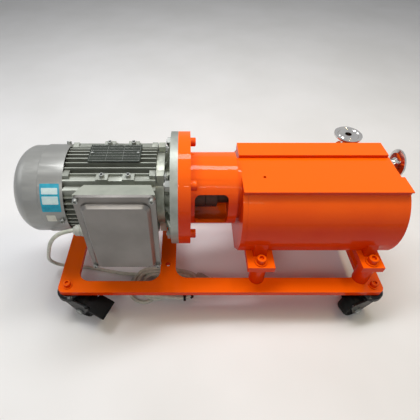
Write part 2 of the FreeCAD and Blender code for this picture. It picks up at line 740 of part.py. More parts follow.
def gear(label, z, turned_by):
    """A straight toothed timing gear with involute flanks."""
    module = float(s.gear_module)
    teeth = round(float(s.centre_gap) / module)
    pitch = module * teeth / 2
    base = pitch * math.cos(math.radians(20))
    outer, low = pitch + module, pitch - 1.25 * module
    half_tooth = math.pi / 2 / teeth - float(s.gear_play) / 2 / pitch

    def spread(radius):
        roll = math.sqrt(max((radius / base) ** 2 - 1, 0))
        return roll - math.atan(roll)

    levels = [max(base, low), pitch, outer]
    flank = [(radius, half_tooth + spread(pitch) - spread(radius)) for radius in levels]
    tooth = [(low, -flank[0][1])] + [(r, -a) for r, a in flank]
    tooth += [(r, a) for r, a in reversed(flank)] + [(low, flank[0][1])]
    points = []
    for number in range(teeth):
        middle = 2 * math.pi * number / teeth + math.radians(turned_by)
        for radius, angle in tooth:
            points.append(Vector(0, radius * math.cos(middle + angle), radius * math.sin(middle + angle)))
    face = Part.Face(Part.makePolygon(points + points[:1]))
    blank = face.extrude(Vector(float(s.gear_width), 0, 0))
    start = float(gear_x)
    blank.translate(Vector(start, 0, 0))
    shaft = Part.makeCylinder(float(s.pump_shaft_dia) / 2, float(s.gear_width), Vector(start, 0, 0), X_AXIS)
    piece = doc.addObject("Part::Feature", label)
    piece.Shape = blank.cut(shaft)
    place(piece, 0, 0, z)
    return keep(piece, label)


gear_x = casing_start + (s.gear_room - s.gear_width) / 2
shaft_r = s.pump_shaft_dia / 2
seat_r = shaft_r - 2
rear_bearing_end = chamber_end + s.pump_bearing_width


def pump_shafts():
    """Both rotor shafts. The driving one goes on through the front cover to its coupling hub."""
    bearing_end = gear_wall_x + s.pump_bearing_width
    common = [
        (bearing_end, seat_r - s.fit_play), (bearing_end, shaft_r),
        (chamber_end, shaft_r), (chamber_end, seat_r - s.fit_play),
        (rear_bearing_end, seat_r - s.fit_play), (rear_bearing_end, 0)]
    hub_start = s.hub_end + s.jaw_len + 1
    drive = [(hub_start, 0), (hub_start, s.coupling_end_dia / 2), (s.small_hub_end, s.coupling_end_dia / 2),
             (s.small_hub_end, shaft_r), (gear_wall_x, shaft_r), (gear_wall_x, seat_r - s.fit_play)]
    turned("drive_shaft", drive + common)
    driven = [(gear_x - 2, 0), (gear_x - 2, shaft_r), (gear_wall_x, shaft_r),
              (gear_wall_x, seat_r - s.fit_play)]
    turned("driven_shaft", driven + common, z=-s.centre_gap)


def rings(label, spots, outer, inner, width):
    """Plain rings of one size, each at its X and Z."""
    master = doc.addObject("PartDesign::Body", label + "_ring")
    sketch = new_sketch(master, "YZ_Plane")
    circle(sketch, 0, 0, outer)
    circle(sketch, 0, 0, inner)
    feature(master, "Pad", sketch, width, name="ring")
    return copies(label, master, [at(x, 0, z) for x, z in spots])


def bell_housing():
    tube_r = s.bell_dia / 2
    inner = tube_r - s.bell_wall
    recess = s.spigot_dia / 2 + s.fit_play
    neck_r = s.bell_neck_dia / 2
    body = turned("bell_housing", [
        (0, recess), (0, s.flange_dia / 2), (s.bell_flange, s.flange_dia / 2), (s.bell_flange, tube_r),
        (s.bell_len, tube_r), (s.bell_len, neck_r), (pump_start, neck_r), (pump_start, shaft_r + 8),
        (s.bell_len - s.bell_wall, shaft_r + 8), (s.bell_len - s.bell_wall, inner),
        (s.spigot_rise + 1, inner), (s.spigot_rise + 1, recess)])
    windows = new_sketch(body, "XZ_Plane")
    rectangle(windows, s.window_start, -s.window_half, s.window_end, s.window_half)
    feature(body, "Pocket", windows, s.flange_dia, both=True, name="windows")
    soften(body, s.window_corner, lambda edge: along_edge(edge, Y_AXIS)
           and abs(edge.CenterOfMass.z) < float(s.window_half) + 1)
    flange_holes(body, s.bell_flange)
    return body


lug_z = s.rail_rise + s.boss_rise - s.shield_screw * 1.2
LUG_SPOTS = [(s.lug_y * side, lug_z * level) for side in (-1, 1) for level in (-1, 1)]


def flange_holes(body, from_x):
    """Four through holes at 45 degrees on the flange circle."""
    holes = new_sketch(body, "YZ_Plane", from_x)
    for corner in range(4):
        angle = 45 + 90 * corner
        reach = s.flange_circle / 2
        circle(holes, reach * cosine(angle), reach * sine(angle), s.flange_screw / 2 + s.rotor_play)
    feature(body, "Pocket", holes, s.bell_flange + 1, name="flange_holes")


def flange_bolts():
    """Four bolts through both flanges, with a nut behind each."""
    grip = s.bell_flange + s.flange_thick
    nut_height = s.flange_screw * 0.8
    bolt = cap_screw("flange_bolt", s.flange_screw, grip + nut_height + 2)
    nut = doc.addObject("PartDesign::Body", "flange_nut")
    sketch = new_sketch(nut, "XY_Plane")
    hexagon(sketch, 0, 0, s.flange_screw * 0.95)
    circle(sketch, 0, 0, s.flange_screw / 2 + s.fit_play)
    feature(nut, "Pad", sketch, nut_height, name="nut")
    shapes = []
    along = Rotation(Y_AXIS, 90)
    for corner in range(4):
        angle = math.radians(45 + 90 * corner)
        y = float(s.flange_circle) / 2 * math.cos(angle)
        z = float(s.flange_circle) / 2 * math.sin(angle)
        for master, x in ((bolt, s.bell_flange), (nut, -s.flange_thick - nut_height)):
            shape = master.Shape.copy()
            shape.Placement = at(x, y, z, along)
            shapes.append(shape)
    group = doc.addObject("Part::Feature", "flange_bolts")
    group.Shape = Part.makeCompound(shapes)
    place(group)
    return keep(group, "flange_bolts")


def sector(sketch, inner, outer, middle, half):
    """A ring sector seen along the shaft."""
    low, high = middle - half, middle + half
    polygon(sketch, [
        (inner * cosine(low), inner * sine(low), inner * cosine(middle), inner * sine(middle)),
        (outer * cosine(low), outer * sine(low)),
        (outer * cosine(high), outer * sine(high), outer * cosine(middle), outer * sine(middle)),
        (inner * cosine(high), inner * sine(high))])


def coupling():
    jaw_half = 23
    small_r = s.small_hub_dia / 2
    gap_end = s.hub_end + s.jaw_len + 1
    first = turned("motor_coupling_hub", [
        (s.hub_start, s.shaft_dia / 2), (s.hub_start, s.hub_dia / 2 - 8), (s.hub_start + 8, s.hub_dia / 2),
        (s.hub_end, s.hub_dia / 2), (s.hub_end, small_r * 0.4), (s.shaft_reach, small_r * 0.4),
        (s.shaft_reach, s.shaft_dia / 2)])
    second = turned("pump_coupling_hub", [
        (gap_end, s.coupling_end_dia / 2), (gap_end, s.hub_dia / 2), (gap_end + 8, s.hub_dia / 2),
        (gap_end + 10, small_r), (s.small_hub_end, small_r), (s.small_hub_end, s.coupling_end_dia / 2)])
    for body, start, middle in ((first, s.hub_end, 0), (second, s.hub_end + 1, 60)):
        jaw = new_sketch(body, "YZ_Plane", start)
        sector(jaw, small_r * 0.55, s.hub_dia / 2, middle, jaw_half)
        step = feature(body, "Pad", jaw, s.jaw_len, name="jaw")
        around(body, [step], 3)
    spider = new_body("coupling_spider")
    ring = new_sketch(spider, "YZ_Plane", s.hub_end + s.jaw_play)
    circle(ring, 0, 0, small_r * 0.55 - s.jaw_play)
    circle(ring, 0, 0, small_r * 0.4)
    width = s.jaw_len + 1 - s.jaw_play * 2
    feature(spider, "Pad", ring, width, name="ring")
    leg = new_sketch(spider, "YZ_Plane", s.hub_end + s.jaw_play)
    sector(leg, small_r * 0.5, s.hub_dia / 2 - 1, 30, 6)
    step = feature(spider, "Pad", leg, width, name="leg")
    around(spider, [step], 6)


def motor_flange():
    """Flange and end shield of the motor, with a ribbed neck and the front bearing housing."""
    bearing_r = s.motor_bearing_dia / 2
    bearing_end = frame_start + 10
    bearing_start = bearing_end - s.motor_bearing_width
    neck, waist = s.shield_dia / 2, s.waist_dia / 2
    ring_end = frame_start + s.lug_len * 1.3
    body = turned("motor_flange", [
        (s.spigot_rise, s.spigot_dia / 2), (0, s.spigot_dia / 2), (0, s.flange_dia / 2),
        (-s.flange_thick, s.flange_dia / 2), (-s.flange_thick, waist), (ring_end, waist),
        (ring_end, neck), (frame_start, neck),
        (frame_start, s.frame_bore / 2), (frame_start - 5, s.frame_bore / 2),
        (frame_start - 5, s.frame_bore / 2 - 6), (bearing_end, s.frame_bore / 2 - 8),
        (bearing_end, bearing_r + 7), (bearing_start, bearing_r + 7), (bearing_start, bearing_r),
        (bearing_end, bearing_r), (bearing_end, s.seat_dia / 2 + 4), (bearing_end + 4, s.seat_dia / 2 + 4),
        (bearing_end + 4, s.seat_dia / 2 + 1), (-s.flange_thick / 2, s.seat_dia / 2 + 1),
        (-s.flange_thick / 2, bearing_r), (-s.flange_thick, bearing_r + 8),
        (s.spigot_rise, s.spigot_dia / 2 - 10)])
    rib = new_sketch(body, "XZ_Plane")
    rib.AttachmentOffset = Placement(Vector(), Rotation(X_AXIS, 180 / float(s.flange_ribs)))
    polygon(rib, [(-s.flange_thick, waist - 1), (-s.flange_thick, s.flange_dia / 2 - 12),
                  (ring_end, neck - 2), (ring_end, waist - 1)])
    step = feature(body, "Pad", rib, s.rib_thick / 2, both=True, name="rib")
    around(body, [step], s.flange_ribs)
    shield_lugs(body, frame_start + s.lug_gap, s.lug_len * 1.3 - s.lug_gap)
    bore(body, frame_start, s.lug_len * 1.3, s.shield_screw / 2 + s.rotor_play, LUG_SPOTS, "lug_hole")
    bore(body, ring_end, s.shield_screw, s.shield_screw * 1.15, LUG_SPOTS, "spotface")
    flange_holes(body, s.spigot_rise)
    return body


def shield_lugs(body, x, length):
    """Four corner lugs that take the end shield bolts."""
    lugs = new_sketch(body, "YZ_Plane", x)
    top = s.rail_rise + s.boss_rise + 2
    for side in (-1, 1):
        for level in (-1, 1):
            rectangle(lugs, (s.lug_y - 7) * side, s.rail_y * level, (s.lug_y + 7) * side, top * level)
    feature(body, "Pad", lugs, length, name="lugs")


def motor_frame():
    """Finned frame with foot rails on four sides, screw bosses and a seat for the terminal box."""
    body = new_body("motor_frame")
    tube = new_sketch(body, "YZ_Plane", frame_end)
    circle(tube, 0, 0, s.frame_dia / 2)
    circle(tube, 0, 0, s.frame_bore / 2)
    feature(body, "Pad", tube, s.frame_len, name="tube")
    tube_r, fin_r = s.frame_dia / 2, s.fin_dia / 2
    fins = new_sketch(body, "YZ_Plane", frame_end)
    count = int(float(s.fins_side))
    for number in range(-count, count + 1):
        y = s.fin_pitch * number
        low = root(tube_r * tube_r - y * y) - 2
        high = root(fin_r * fin_r - y * y)
        rectangle(fins, y - s.fin_thick / 2, low, y + s.fin_thick / 2, high)
    fin_step = feature(body, "Pad", fins, s.frame_len, name="fins")
    rails = new_sketch(body, "YZ_Plane", frame_end)
    for side in (-1, 1):
        middle = s.rail_y * side
        rectangle(rails, middle - s.rail_width / 2, s.rail_y - s.rail_width / 2,
                  middle + s.rail_width / 2, s.rail_rise)
    rail_step = feature(body, "Pad", rails, s.frame_len, name="rails")
    boss_steps = []
    for x in (-s.boss_near, -s.boss_far):
        bosses = new_sketch(body, "YZ_Plane", x - s.boss_len / 2)
        for side in (-1, 1):
            middle = s.rail_y * side
            rectangle(bosses, middle - s.rail_width * 0.62, s.rail_y,
                      middle + s.rail_width * 0.62, s.rail_rise + s.boss_rise)
        boss_steps.append(feature(body, "Pad", bosses, s.boss_len, name="bosses"))
    around(body, [fin_step, rail_step] + boss_steps, 4)
    for x in (frame_end, frame_start - s.lug_len):
        shield_lugs(body, x, s.lug_len)
    seat = new_sketch(body, "XZ_Plane", s.frame_dia / 2 - 10)
    rectangle(seat, box_root_low, -s.rail_y + 8, box_root_high, s.rail_y - 8)
    feature(body, "Pad", seat, box_root_y - s.frame_dia / 2 + 10, name="box_seat")
    bore(body, frame_end, s.frame_len, s.frame_bore / 2, [(0, 0)], "bore")
    bore(body, frame_start, s.lug_len, s.shield_screw / 2, LUG_SPOTS, "lug_thread", back=False)
    threads = new_sketch(body, "XY_Plane", s.rail_rise + s.boss_rise)
    for x in (s.boss_near, s.boss_far):
        for side in (-1, 1):
            circle(threads, -x, s.rail_y * side, s.small_screw / 2)
    feature(body, "Pocket", threads, s.screw_len, name="boss_threads")
    return body


COVER_SCREWS = [
    (x, (s.box_half - s.screw_inset) * side)
    for x in (s.screw_inset - s.box_left, -s.box_right - s.screw_inset) for side in (-1, 1)]
cowl_screw_x = frame_end - 7
TO_FRONT = Rotation(X_AXIS, 90)
box_root_y = s.fin_dia / 2 + 1
box_root_low = s.box_taper - s.box_left
box_root_high = -s.box_right - s.box_taper


def terminal_box():
    """Tapered box on the side of the motor frame, open towards its cover."""
    body = new_body("terminal_box")
    root_sketch = new_sketch(body, "XZ_Plane", box_root_y)
    low = s.box_taper - s.box_half
    rectangle(root_sketch, box_root_low, low, box_root_high, -low)
    face = new_sketch(body, "XZ_Plane", s.box_face)
    rectangle(face, -s.box_left, -s.box_half, -s.box_right, s.box_half)
    loft = body.newObject("PartDesign::AdditiveLoft", "terminal_box_loft")
    loft.Profile = root_sketch
    loft.Sections = [face]
    loft.Ruled = True
    body.Tip = loft
    doc.recompute()
    inset = s.box_taper + s.box_wall
    hollow = new_sketch(body, "XZ_Plane", s.box_face)
    rectangle(hollow, inset - s.box_left, inset - s.box_half, -s.box_right - inset, s.box_half - inset)
    feature(body, "Pocket", hollow, s.box_face - box_root_y - s.box_wall, name="hollow")
    entry = new_sketch(body, "YZ_Plane", -s.box_left)
    circle(entry, -s.gland_y, -s.gland_z, s.gland_dia * 0.3)
    feature(body, "Pocket", entry, inset, back=True, name="entry")
    cover_holes(body, s.box_face, s.small_screw / 2, s.screw_len - s.lid_thick + 1)
    return body


def cover_holes(body, y, radius, depth):
    """Holes for the four cover screws, from a plane in front of the box towards the motor."""
    holes = new_sketch(body, "XZ_Plane", y)
    for x, z in COVER_SCREWS:
        circle(holes, x, z, radius)
    feature(body, "Pocket", holes, depth, name="screw_holes")


def terminal_cover():
    body = new_body("terminal_cover")
    rim = new_sketch(body, "XZ_Plane", s.box_face)
    rectangle(rim, -s.box_left, -s.box_half, -s.box_right, s.box_half)
    feature(body, "Pad", rim, s.lid_thick, name="rim")
    soften(body, s.box_corner, lambda edge: along_edge(edge, Y_AXIS))
    panel = new_sketch(body, "XZ_Plane", s.box_face + s.lid_thick)
    border = s.lid_border
    rectangle(panel, border - s.box_left, border * 0.5 - s.box_half, -s.box_right - border,
              s.box_half - border * 1.5)
    feature(body, "Pad", panel, s.lid_rise, name="panel")
    panel_y = -float(s.box_face + s.lid_thick)
    soften(body, s.box_corner * 1.6, lambda edge: along_edge(edge, Y_AXIS)
           and edge.CenterOfMass.y < panel_y - 0.1)
    front_y = panel_y - float(s.lid_rise)
    soften(body, s.lid_rise * 0.7, lambda edge: edge.BoundBox.YMax < front_y + 0.01, kind="Chamfer")
    cover_holes(body, s.box_face + s.lid_thick, s.small_screw / 2 + s.fit_play, s.lid_thick)
    return body


def terminal_block():
    """Connection block with six studs, inside the box."""
    body = new_body("terminal_block")
    middle = -(s.box_left + s.box_right) / 2
    floor_y = box_root_y + s.box_wall
    block = new_sketch(body, "XZ_Plane", floor_y)
    rectangle(block, middle - 32, -18, middle + 32, 18)
    feature(body, "Pad", block, 10, name="block")
    studs = new_sketch(body, "XZ_Plane", floor_y + 10)
    for column in (-1, 0, 1):
        for row_side in (-1, 1):
            circle(studs, middle + 20 * column, as_size(10 * row_side), 3)
    feature(body, "Pad", studs, 10, name="studs")
    return body


def small_screws():
    """Cover, cowl and boss screws, all of one size."""
    master = cap_screw("small_screw", s.small_screw, s.screw_len)
    outward = Rotation(X_AXIS, 90)
    spots = []
    for x, z in COVER_SCREWS:
        spots.append(at(x, -s.box_face - s.lid_thick, z, outward))
    for number in range(int(float(s.cowl_screws))):
        turn = Rotation(X_AXIS, 360 / float(s.cowl_screws) * number) * TO_FRONT
        cowl_spot = turn.multVec(Vector(float(cowl_screw_x), 0, float(s.cowl_dia) / 2))
        spots.append(Placement(cowl_spot, turn))
    for x in (s.boss_near, s.boss_far):
        for side in (-1, 1):
            spots.append(at(-x, s.rail_y * side, s.rail_rise + s.boss_rise))
    return copies("small_screws", master, spots)


rear_bearing_x = frame_end - 6
front_bearing_x = frame_start + 10 - s.motor_bearing_width
core_near = s.core_len - s.core_far


def motor_inside():
    """Shaft, rotor and stator of the motor, turned about the shaft axis."""
    seat = s.seat_dia / 2 - s.fit_play
    back_r = seat - 2
    body_r = s.seat_dia / 2 + 3
    rear_end = rear_bearing_x + s.motor_bearing_width
    front_end = front_bearing_x + s.motor_bearing_width
    fan_start = frame_end - s.cowl_len - 8
    turned("motor_shaft", [
        (fan_start, 0), (fan_start, back_r), (rear_bearing_x, back_r), (rear_bearing_x, seat),
        (rear_end, seat), (rear_end, body_r), (front_bearing_x, body_r), (front_bearing_x, seat),
        (front_end + 1, seat), (front_end + 1, s.shaft_dia / 2), (s.shaft_reach - 1, s.shaft_dia / 2),
        (s.shaft_reach, s.shaft_dia / 2 - 1), (s.shaft_reach, 0)])
    core_r = s.stator_hole / 2 - s.air_gap
    turned("rotor_core", [
        (-s.core_far - 6, core_r - 10), (-s.core_far - 6, core_r - 3), (-s.core_far, core_r - 3),
        (-s.core_far, core_r), (core_near, core_r), (core_near, core_r - 3), (core_near + 6, core_r - 3),
        (core_near + 6, core_r - 10), (core_near, core_r - 10), (core_near, body_r),
        (-s.core_far, body_r), (-s.core_far, core_r - 10)])
    turned("stator_core", [
        (-s.core_far, s.stator_hole / 2), (-s.core_far, s.frame_bore / 2),
        (core_near, s.frame_bore / 2), (core_near, s.stator_hole / 2)])
    windings = new_body("stator_windings")
    for start in (core_near, -s.core_far - s.winding_len):
        ring = new_sketch(windings, "YZ_Plane", start)
        circle(ring, 0, 0, s.frame_bore / 2 - 5)
        circle(ring, 0, 0, s.stator_hole / 2 + 3)
        feature(windings, "Pad", ring, s.winding_len, name="winding")
    rings("motor_bearings", [(rear_bearing_x, 0), (front_bearing_x, 0)],
          s.motor_bearing_dia / 2, s.seat_dia / 2, s.motor_bearing_width)


def motor_rear_shield():
    """End shield inside the cowl, with four lugs that take the cowl screws."""
    bearing_r = s.motor_bearing_dia / 2
    bearing_end = rear_bearing_x + s.motor_bearing_width
    inner = s.frame_bore / 2
    body = turned("motor_rear_shield", [
        (frame_end, s.frame_dia / 2 + 3), (frame_end - 6, s.frame_dia / 2), (frame_end - 9, inner - 6),
        (frame_end - 9, s.seat_dia / 2 + 1), (rear_bearing_x, s.seat_dia / 2 + 1),
        (rear_bearing_x, bearing_r), (bearing_end, bearing_r), (bearing_end, bearing_r + 6),
        (frame_end - 3, bearing_r + 6), (frame_end - 3, inner - 8), (frame_end + 5, inner - 5),
        (frame_end + 5, inner), (frame_end, inner)])
    cowl_inner = s.cowl_dia / 2 - s.cowl_wall
    lug = new_sketch(body, "XZ_Plane")
    rectangle(lug, cowl_screw_x - s.small_screw, inner, frame_end, cowl_inner - s.fit_play * 6)
    lug_step = feature(body, "Pad", lug, s.small_screw * 2.4, both=True, name="lug")
    thread = new_sketch(body, "XY_Plane", cowl_inner)
    circle(thread, cowl_screw_x, 0, s.small_screw / 2)
    thread_step = feature(body, "Pocket", thread, s.screw_len, name="thread")
    around(body, [lug_step, thread_step], s.cowl_screws)
    body.Placement.Rotation = TO_FRONT
    return body


def fan_cowl():
    """Pressed cowl with a step, a rounded end and a grille of slots in the end face."""
    outer = s.cowl_dia / 2
    wall = s.cowl_wall
    back = outer - s.cowl_step
    flat = s.cowl_dia * 0.27
    bulge = s.cowl_dome * 0.74
    body = new_body("fan_cowl")
    sketch = new_sketch(body, "XZ_Plane")
    polygon(sketch, [
        (frame_end, outer - wall), (frame_end, outer), (step_x, outer), (step_x - s.cowl_step, back),
        (dome_x, back), (motor_end, flat, motor_end + (s.cowl_dome - bulge) * 1.1, back * 0.83),
        (motor_end, 0), (motor_end + wall, 0), (motor_end + wall, flat),
        (dome_x, back - wall, motor_end + wall + (s.cowl_dome - bulge) * 1.1, back * 0.83 - wall),
        (step_x - s.cowl_step, back - wall), (step_x, outer - wall)])
    revolve(body, sketch)
    slots = new_sketch(body, "YZ_Plane", motor_end - 1)
    steps = 3
    for ring in range(steps):
        inner_r = flat * (0.28 + 0.24 * ring)
        sector(slots, inner_r, inner_r + flat * 0.16, 30, 24)
    step = feature(body, "Pocket", slots, s.cowl_dome * 0.5, back=True, name="slots")
    around(body, [step], 6)
    hole = new_sketch(body, "XY_Plane", outer)
    circle(hole, cowl_screw_x, 0, s.small_screw / 2 + s.fit_play)
    hole_step = feature(body, "Pocket", hole, outer / 2, name="screw_hole")
    around(body, [hole_step], s.cowl_screws)
    body.Placement.Rotation = TO_FRONT
    return body


def cooling_fan():
    hub_start = frame_end - s.cowl_len - 6
    hub_r = s.seat_dia / 2 + 5
    body = turned("cooling_fan", [
        (hub_start, s.seat_dia / 2 - 2), (hub_start, hub_r), (hub_start + 22, hub_r),
        (hub_start + 26, s.fan_dia * 0.36), (hub_start + 29, s.fan_dia * 0.36),
        (hub_start + 26, s.seat_dia / 2 - 2)])
    blade = new_sketch(body, "XZ_Plane")
    polygon(blade, [
        (hub_start + 2, hub_r - 2), (hub_start + 4, s.fan_dia / 2 - 4), (hub_start + 10, s.fan_dia / 2),
        (hub_start + 26, s.fan_dia / 2 - 4), (hub_start + 26, hub_r - 2)])
    step = feature(body, "Pad", blade, 2.5, both=True, name="blade")
    around(body, [step], s.fan_blades)
    return body


def nameplate():
    """Bare rating plate on the top fins, with two rivets."""
    body = new_body("nameplate")
    top = s.fin_dia / 2
    middle = -(s.box_left + s.box_right) / 2 - 14
    plate = new_sketch(body, "XY_Plane", top)
    rectangle(plate, middle - 43, -20, middle + 43, 26)
    feature(body, "Pad", plate, 1, name="plate")
    rivets = new_sketch(body, "XY_Plane", top + 1)
    for side in (-1, 1):
        circle(rivets, middle + 38 * side, as_size(3), 2)
    feature(body, "Pad", rivets, 1, name="rivets")
    return body


def shield_bolts():
    """Hex bolts through the lugs of the end shield into the motor frame."""
    master = doc.addObject("PartDesign::Body", "shield_bolt")
    head = new_sketch(master, "YZ_Plane")
    hexagon(head, 0, 0, s.shield_screw * 0.95)
    feature(master, "Pad", head, s.shield_screw * 0.7, name="head")
    shank = new_sketch(master, "YZ_Plane")
    circle(shank, 0, 0, s.shield_screw / 2)
    feature(master, "Pad", shank, s.lug_len * 2.1, back=True, name="shank")
    spots = [at(frame_start + s.lug_len * 1.3, y, z) for y, z in LUG_SPOTS]
    return copies("shield_bolts", master, spots)


def cable_gland():
    nut = s.gland_dia / 2
    start = -s.box_left
    end = start - s.gland_len
    return turned("cable_gland", [
        (start + s.box_taper, s.cable_dia / 2), (start + s.box_taper, nut * 0.55), (start, nut * 0.55),
        (start, nut), (start - 5, nut), (start - 5, nut * 0.85), (start - 7, nut * 0.85),
        (start - 7, nut * 0.95), (end + 4, nut * 0.9), (end, nut * 0.6), (end, s.cable_dia / 2)],
        -s.gland_y, -s.gland_z)


# The cable's points, chosen by hand, from the gland down to the floor and on to its coil.
CABLE_ROUTE = [
    (-169, -98, -3), (-187, -99, -6), (-203.5, -98.5, -18), (-217.5, -94, -38), (-229, -86.5, -63),
    (-240, -76.5, -89), (-250.5, -65.5, -114), (-260, -54.5, -137), (-267, -45, -159), (-264, -38, -181),
    (-248, -33.5, -196.5), (-225, -31.5, -201.5), (-199, -34, -201.5), (-173, -39.5, -201.5),
    (-145, -46, -201.5), (-115, -51, -201.5), (-84, -52.5, -201.5),
]
COIL_PLACE = (-33, -86.5)
TIE_TURNS = (11, 40)
PLUG_PLACE = (40.5, -63.5)
PLUG_TURN = -35


def cable():
    """The cable's free run, straight lines joined by arcs, and its put away coil with tie and plug."""
    points = [Vector(*point) for point in CABLE_ROUTE]
    radius = float(s.cable_dia) / 2
    edges = []
    start = points[0]
    for before, corner, after in zip(points, points[1:], points[2:]):
        run_in, run_out = corner - before, after - corner
        turn = run_in.getAngle(run_out)
        cut = 0.45 * min(run_in.Length, run_out.Length)
        bend = cut / math.tan(turn / 2)
        print("cable bend radius", round(bend, 1))
        enter = corner - run_in.normalize() * cut
        leave = corner + run_out.normalize() * cut
        towards = (enter + leave - corner * 2).normalize()
        middle = corner + towards * (math.hypot(bend, cut) - bend)
        edges += [Part.LineSegment(start, enter).toShape(), Part.Arc(enter, middle, leave).toShape()]
        start = leave
    edges.append(Part.LineSegment(start, points[-1]).toShape())
    path = Part.Wire(edges)
    ring = Part.Wire(Part.Circle(points[0], points[1] - points[0], radius).toShape())
    tube = path.makePipeShell([ring], True, False)
    print("cable volume over section times length", tube.Volume / (math.pi * radius ** 2 * path.Length))
    print("cable length", round(path.Length))
    lead = doc.addObject("Part::Feature", "cable_lead")
    lead.Shape = tube
    place(lead)
    keep(lead, "cable_lead")
    under = floor_z + 0.1
    coil(under + s.tie_thick)
    plug(under)


def coil(low):
    """The put away length as one closed solid, long and flat, with two straps round its end."""
    x, y = COIL_PLACE
    half_len, half_width, band = s.coil_len / 2, s.coil_width / 2, s.coil_band
    hank = new_body("cable_coil", x, y, 0)
    outline = new_sketch(hank, "XY_Plane", low)
    rectangle(outline, -half_len, -half_width, half_len, half_width)
    feature(hank, "Pad", outline, s.coil_height, name="turns")
    flat = 0.5
    soften(hank, half_width - flat, lambda edge: along_edge(edge, Z_AXIS))
    hole = new_sketch(hank, "XY_Plane", low + s.coil_height)
    rectangle(hole, band - half_len, band - half_width, half_len - band, half_width - band)
    feature(hank, "Pocket", hole, s.coil_height, name="hole")
    inner_half = half_width - band
    soften(hank, inner_half - flat, lambda edge: along_edge(edge, Z_AXIS)
           and abs(edge.CenterOfMass.y) < float(inner_half) + 0.01)
    soften(hank, 4, lambda edge: abs(edge.CenterOfMass.z - float(low + s.coil_height)) < 0.01)
    strap = doc.addObject("PartDesign::Body", "strap")
    section = new_sketch(strap, "YZ_Plane")
    thick = s.tie_thick
    sag = s.tie_width * s.tie_width / (inner_half * 8)
    outer, inner = -half_width - flat / 2, sag * 1.1 - inner_half
    top = low + s.coil_height
    rectangle(section, outer - thick, low - thick, inner + thick, top + thick)
    rectangle(section, outer, low, inner, top)
    feature(strap, "Pad", section, s.tie_width / 2, both=True, name="strap")
    end = at(x + half_len - half_width, y, 0)
    copies("cable_tie", strap, [end * at(0, 0, 0, Rotation(Z_AXIS, turn)) for turn in TIE_TURNS])


def plug(low):
    """Moulded plug on the end of the cable, lying beside the coil."""
    body = new_body("cable_plug", *PLUG_PLACE, 0)
    tail, shoulder, grip_end = -s.plug_tail, s.plug_waist, s.plug_waist + s.plug_grip
    grip = new_sketch(body, "XY_Plane", low)
    narrow, wide = s.plug_width / 2 - s.plug_step, s.plug_width / 2
    polygon(grip, [
        (tail, -s.cable_dia * 0.7), (0, -narrow), (shoulder, -narrow), (shoulder + s.plug_step, -wide),
        (grip_end, -wide), (grip_end, wide), (shoulder + s.plug_step, wide), (shoulder, narrow),
        (0, narrow), (tail, s.cable_dia * 0.7)])
    feature(body, "Pad", grip, s.plug_height, name="grip")
    top = float(low + s.plug_height)
    soften(body, 3, lambda edge: edge.BoundBox.ZLength < 0.01 and abs(edge.CenterOfMass.z - top) < 0.01)
    pins = new_sketch(body, "YZ_Plane", grip_end)
    for side in (-1, 1):
        circle(pins, s.plug_pitch * side / 2, low + s.plug_height / 2, s.plug_pin_dia / 2)
    feature(body, "Pad", pins, s.plug_pin, name="pins")
    body.Placement.Rotation = Rotation(Z_AXIS, PLUG_TURN)


def pipe_stub(label, x, y, z, reach, turn):
    """A short pipe with a clamp ferrule, drawn along Z with its seat at the origin."""
    outer, hole, face = s.stem_dia / 2, s.stem_bore / 2, s.ferrule_dia / 2
    body = new_body(label, x, y, z)
    sketch = new_sketch(body, "XZ_Plane")
    groove = face * 0.72
    polygon(sketch, [
        (hole, 0), (outer, 0), (outer, reach - 9), (outer + 3, reach - 6), (face - 6, reach - 5),
        (face, reach - s.ferrule_thick), (face, reach), (groove + 1.5, reach), (groove, reach - 1.2),
        (groove - 1.5, reach), (hole, reach)])
    revolve(body, sketch, axis="V_Axis")
    body.Placement.Rotation = turn
    return body


def pipe_stubs():
    pipe_stub("inlet_stub", s.inlet_x, s.inlet_y, s.inlet_boss, s.inlet_top - s.inlet_boss, Rotation())
    pipe_stub("outlet_stub", pump_end, s.outlet_y, s.outlet_z, s.outlet_reach, Rotation(Y_AXIS, 90))


def brake_pedal(corner, fork, x, y, turn, axle_z, half):
    """Foot pedal whose pin turns in the ears of the fork, with a shoe that points at the wheel."""
    pin_x, pin_z = s.caster_trail + s.pedal_pin_x, axle_z + s.pedal_pin_z
    pin_r = as_size(2.5)
    hole = new_sketch(fork, "XZ_Plane")
    circle(hole, pin_x, pin_z, pin_r + s.fit_play)
    feature(fork, "Pocket", hole, s.wheel_width * 2, both=True, name="pin_hole")
    pedal = new_body("brake_pedal_" + corner, x, y, plate_under)
    pin = new_sketch(pedal, "XZ_Plane")
    circle(pin, pin_x, pin_z, pin_r)
    feature(pedal, "Pad", pin, (half + s.fork_sheet + 1) * 2, both=True, name="pin")
    arm = new_sketch(pedal, "XZ_Plane")
    polygon(arm, [
        (pin_x - 3, pin_z + 3), (pin_x - 3.5, pin_z - 3), (pin_x, pin_z - 3.5), (pin_x + 6, pin_z - 1),
        (pin_x + s.pedal_reach, pin_z - 9), (pin_x + s.pedal_reach, pin_z - 5), (pin_x + 7, pin_z + 3)])
    feature(pedal, "Pad", arm, (half - s.fork_gap) * 2, both=True, name="arm")
    tread = new_sketch(pedal, "XZ_Plane")
    polygon(tread, [
        (pin_x + 9, pin_z - 2), (pin_x + s.pedal_reach, pin_z - 9), (pin_x + s.pedal_reach + 3, pin_z - 7),
        (pin_x + s.pedal_reach, pin_z - 4), (pin_x + 9, pin_z + 3)])
    feature(pedal, "Pad", tread, s.pedal_width, both=True, name="tread")
    pedal.Placement.Rotation = turn


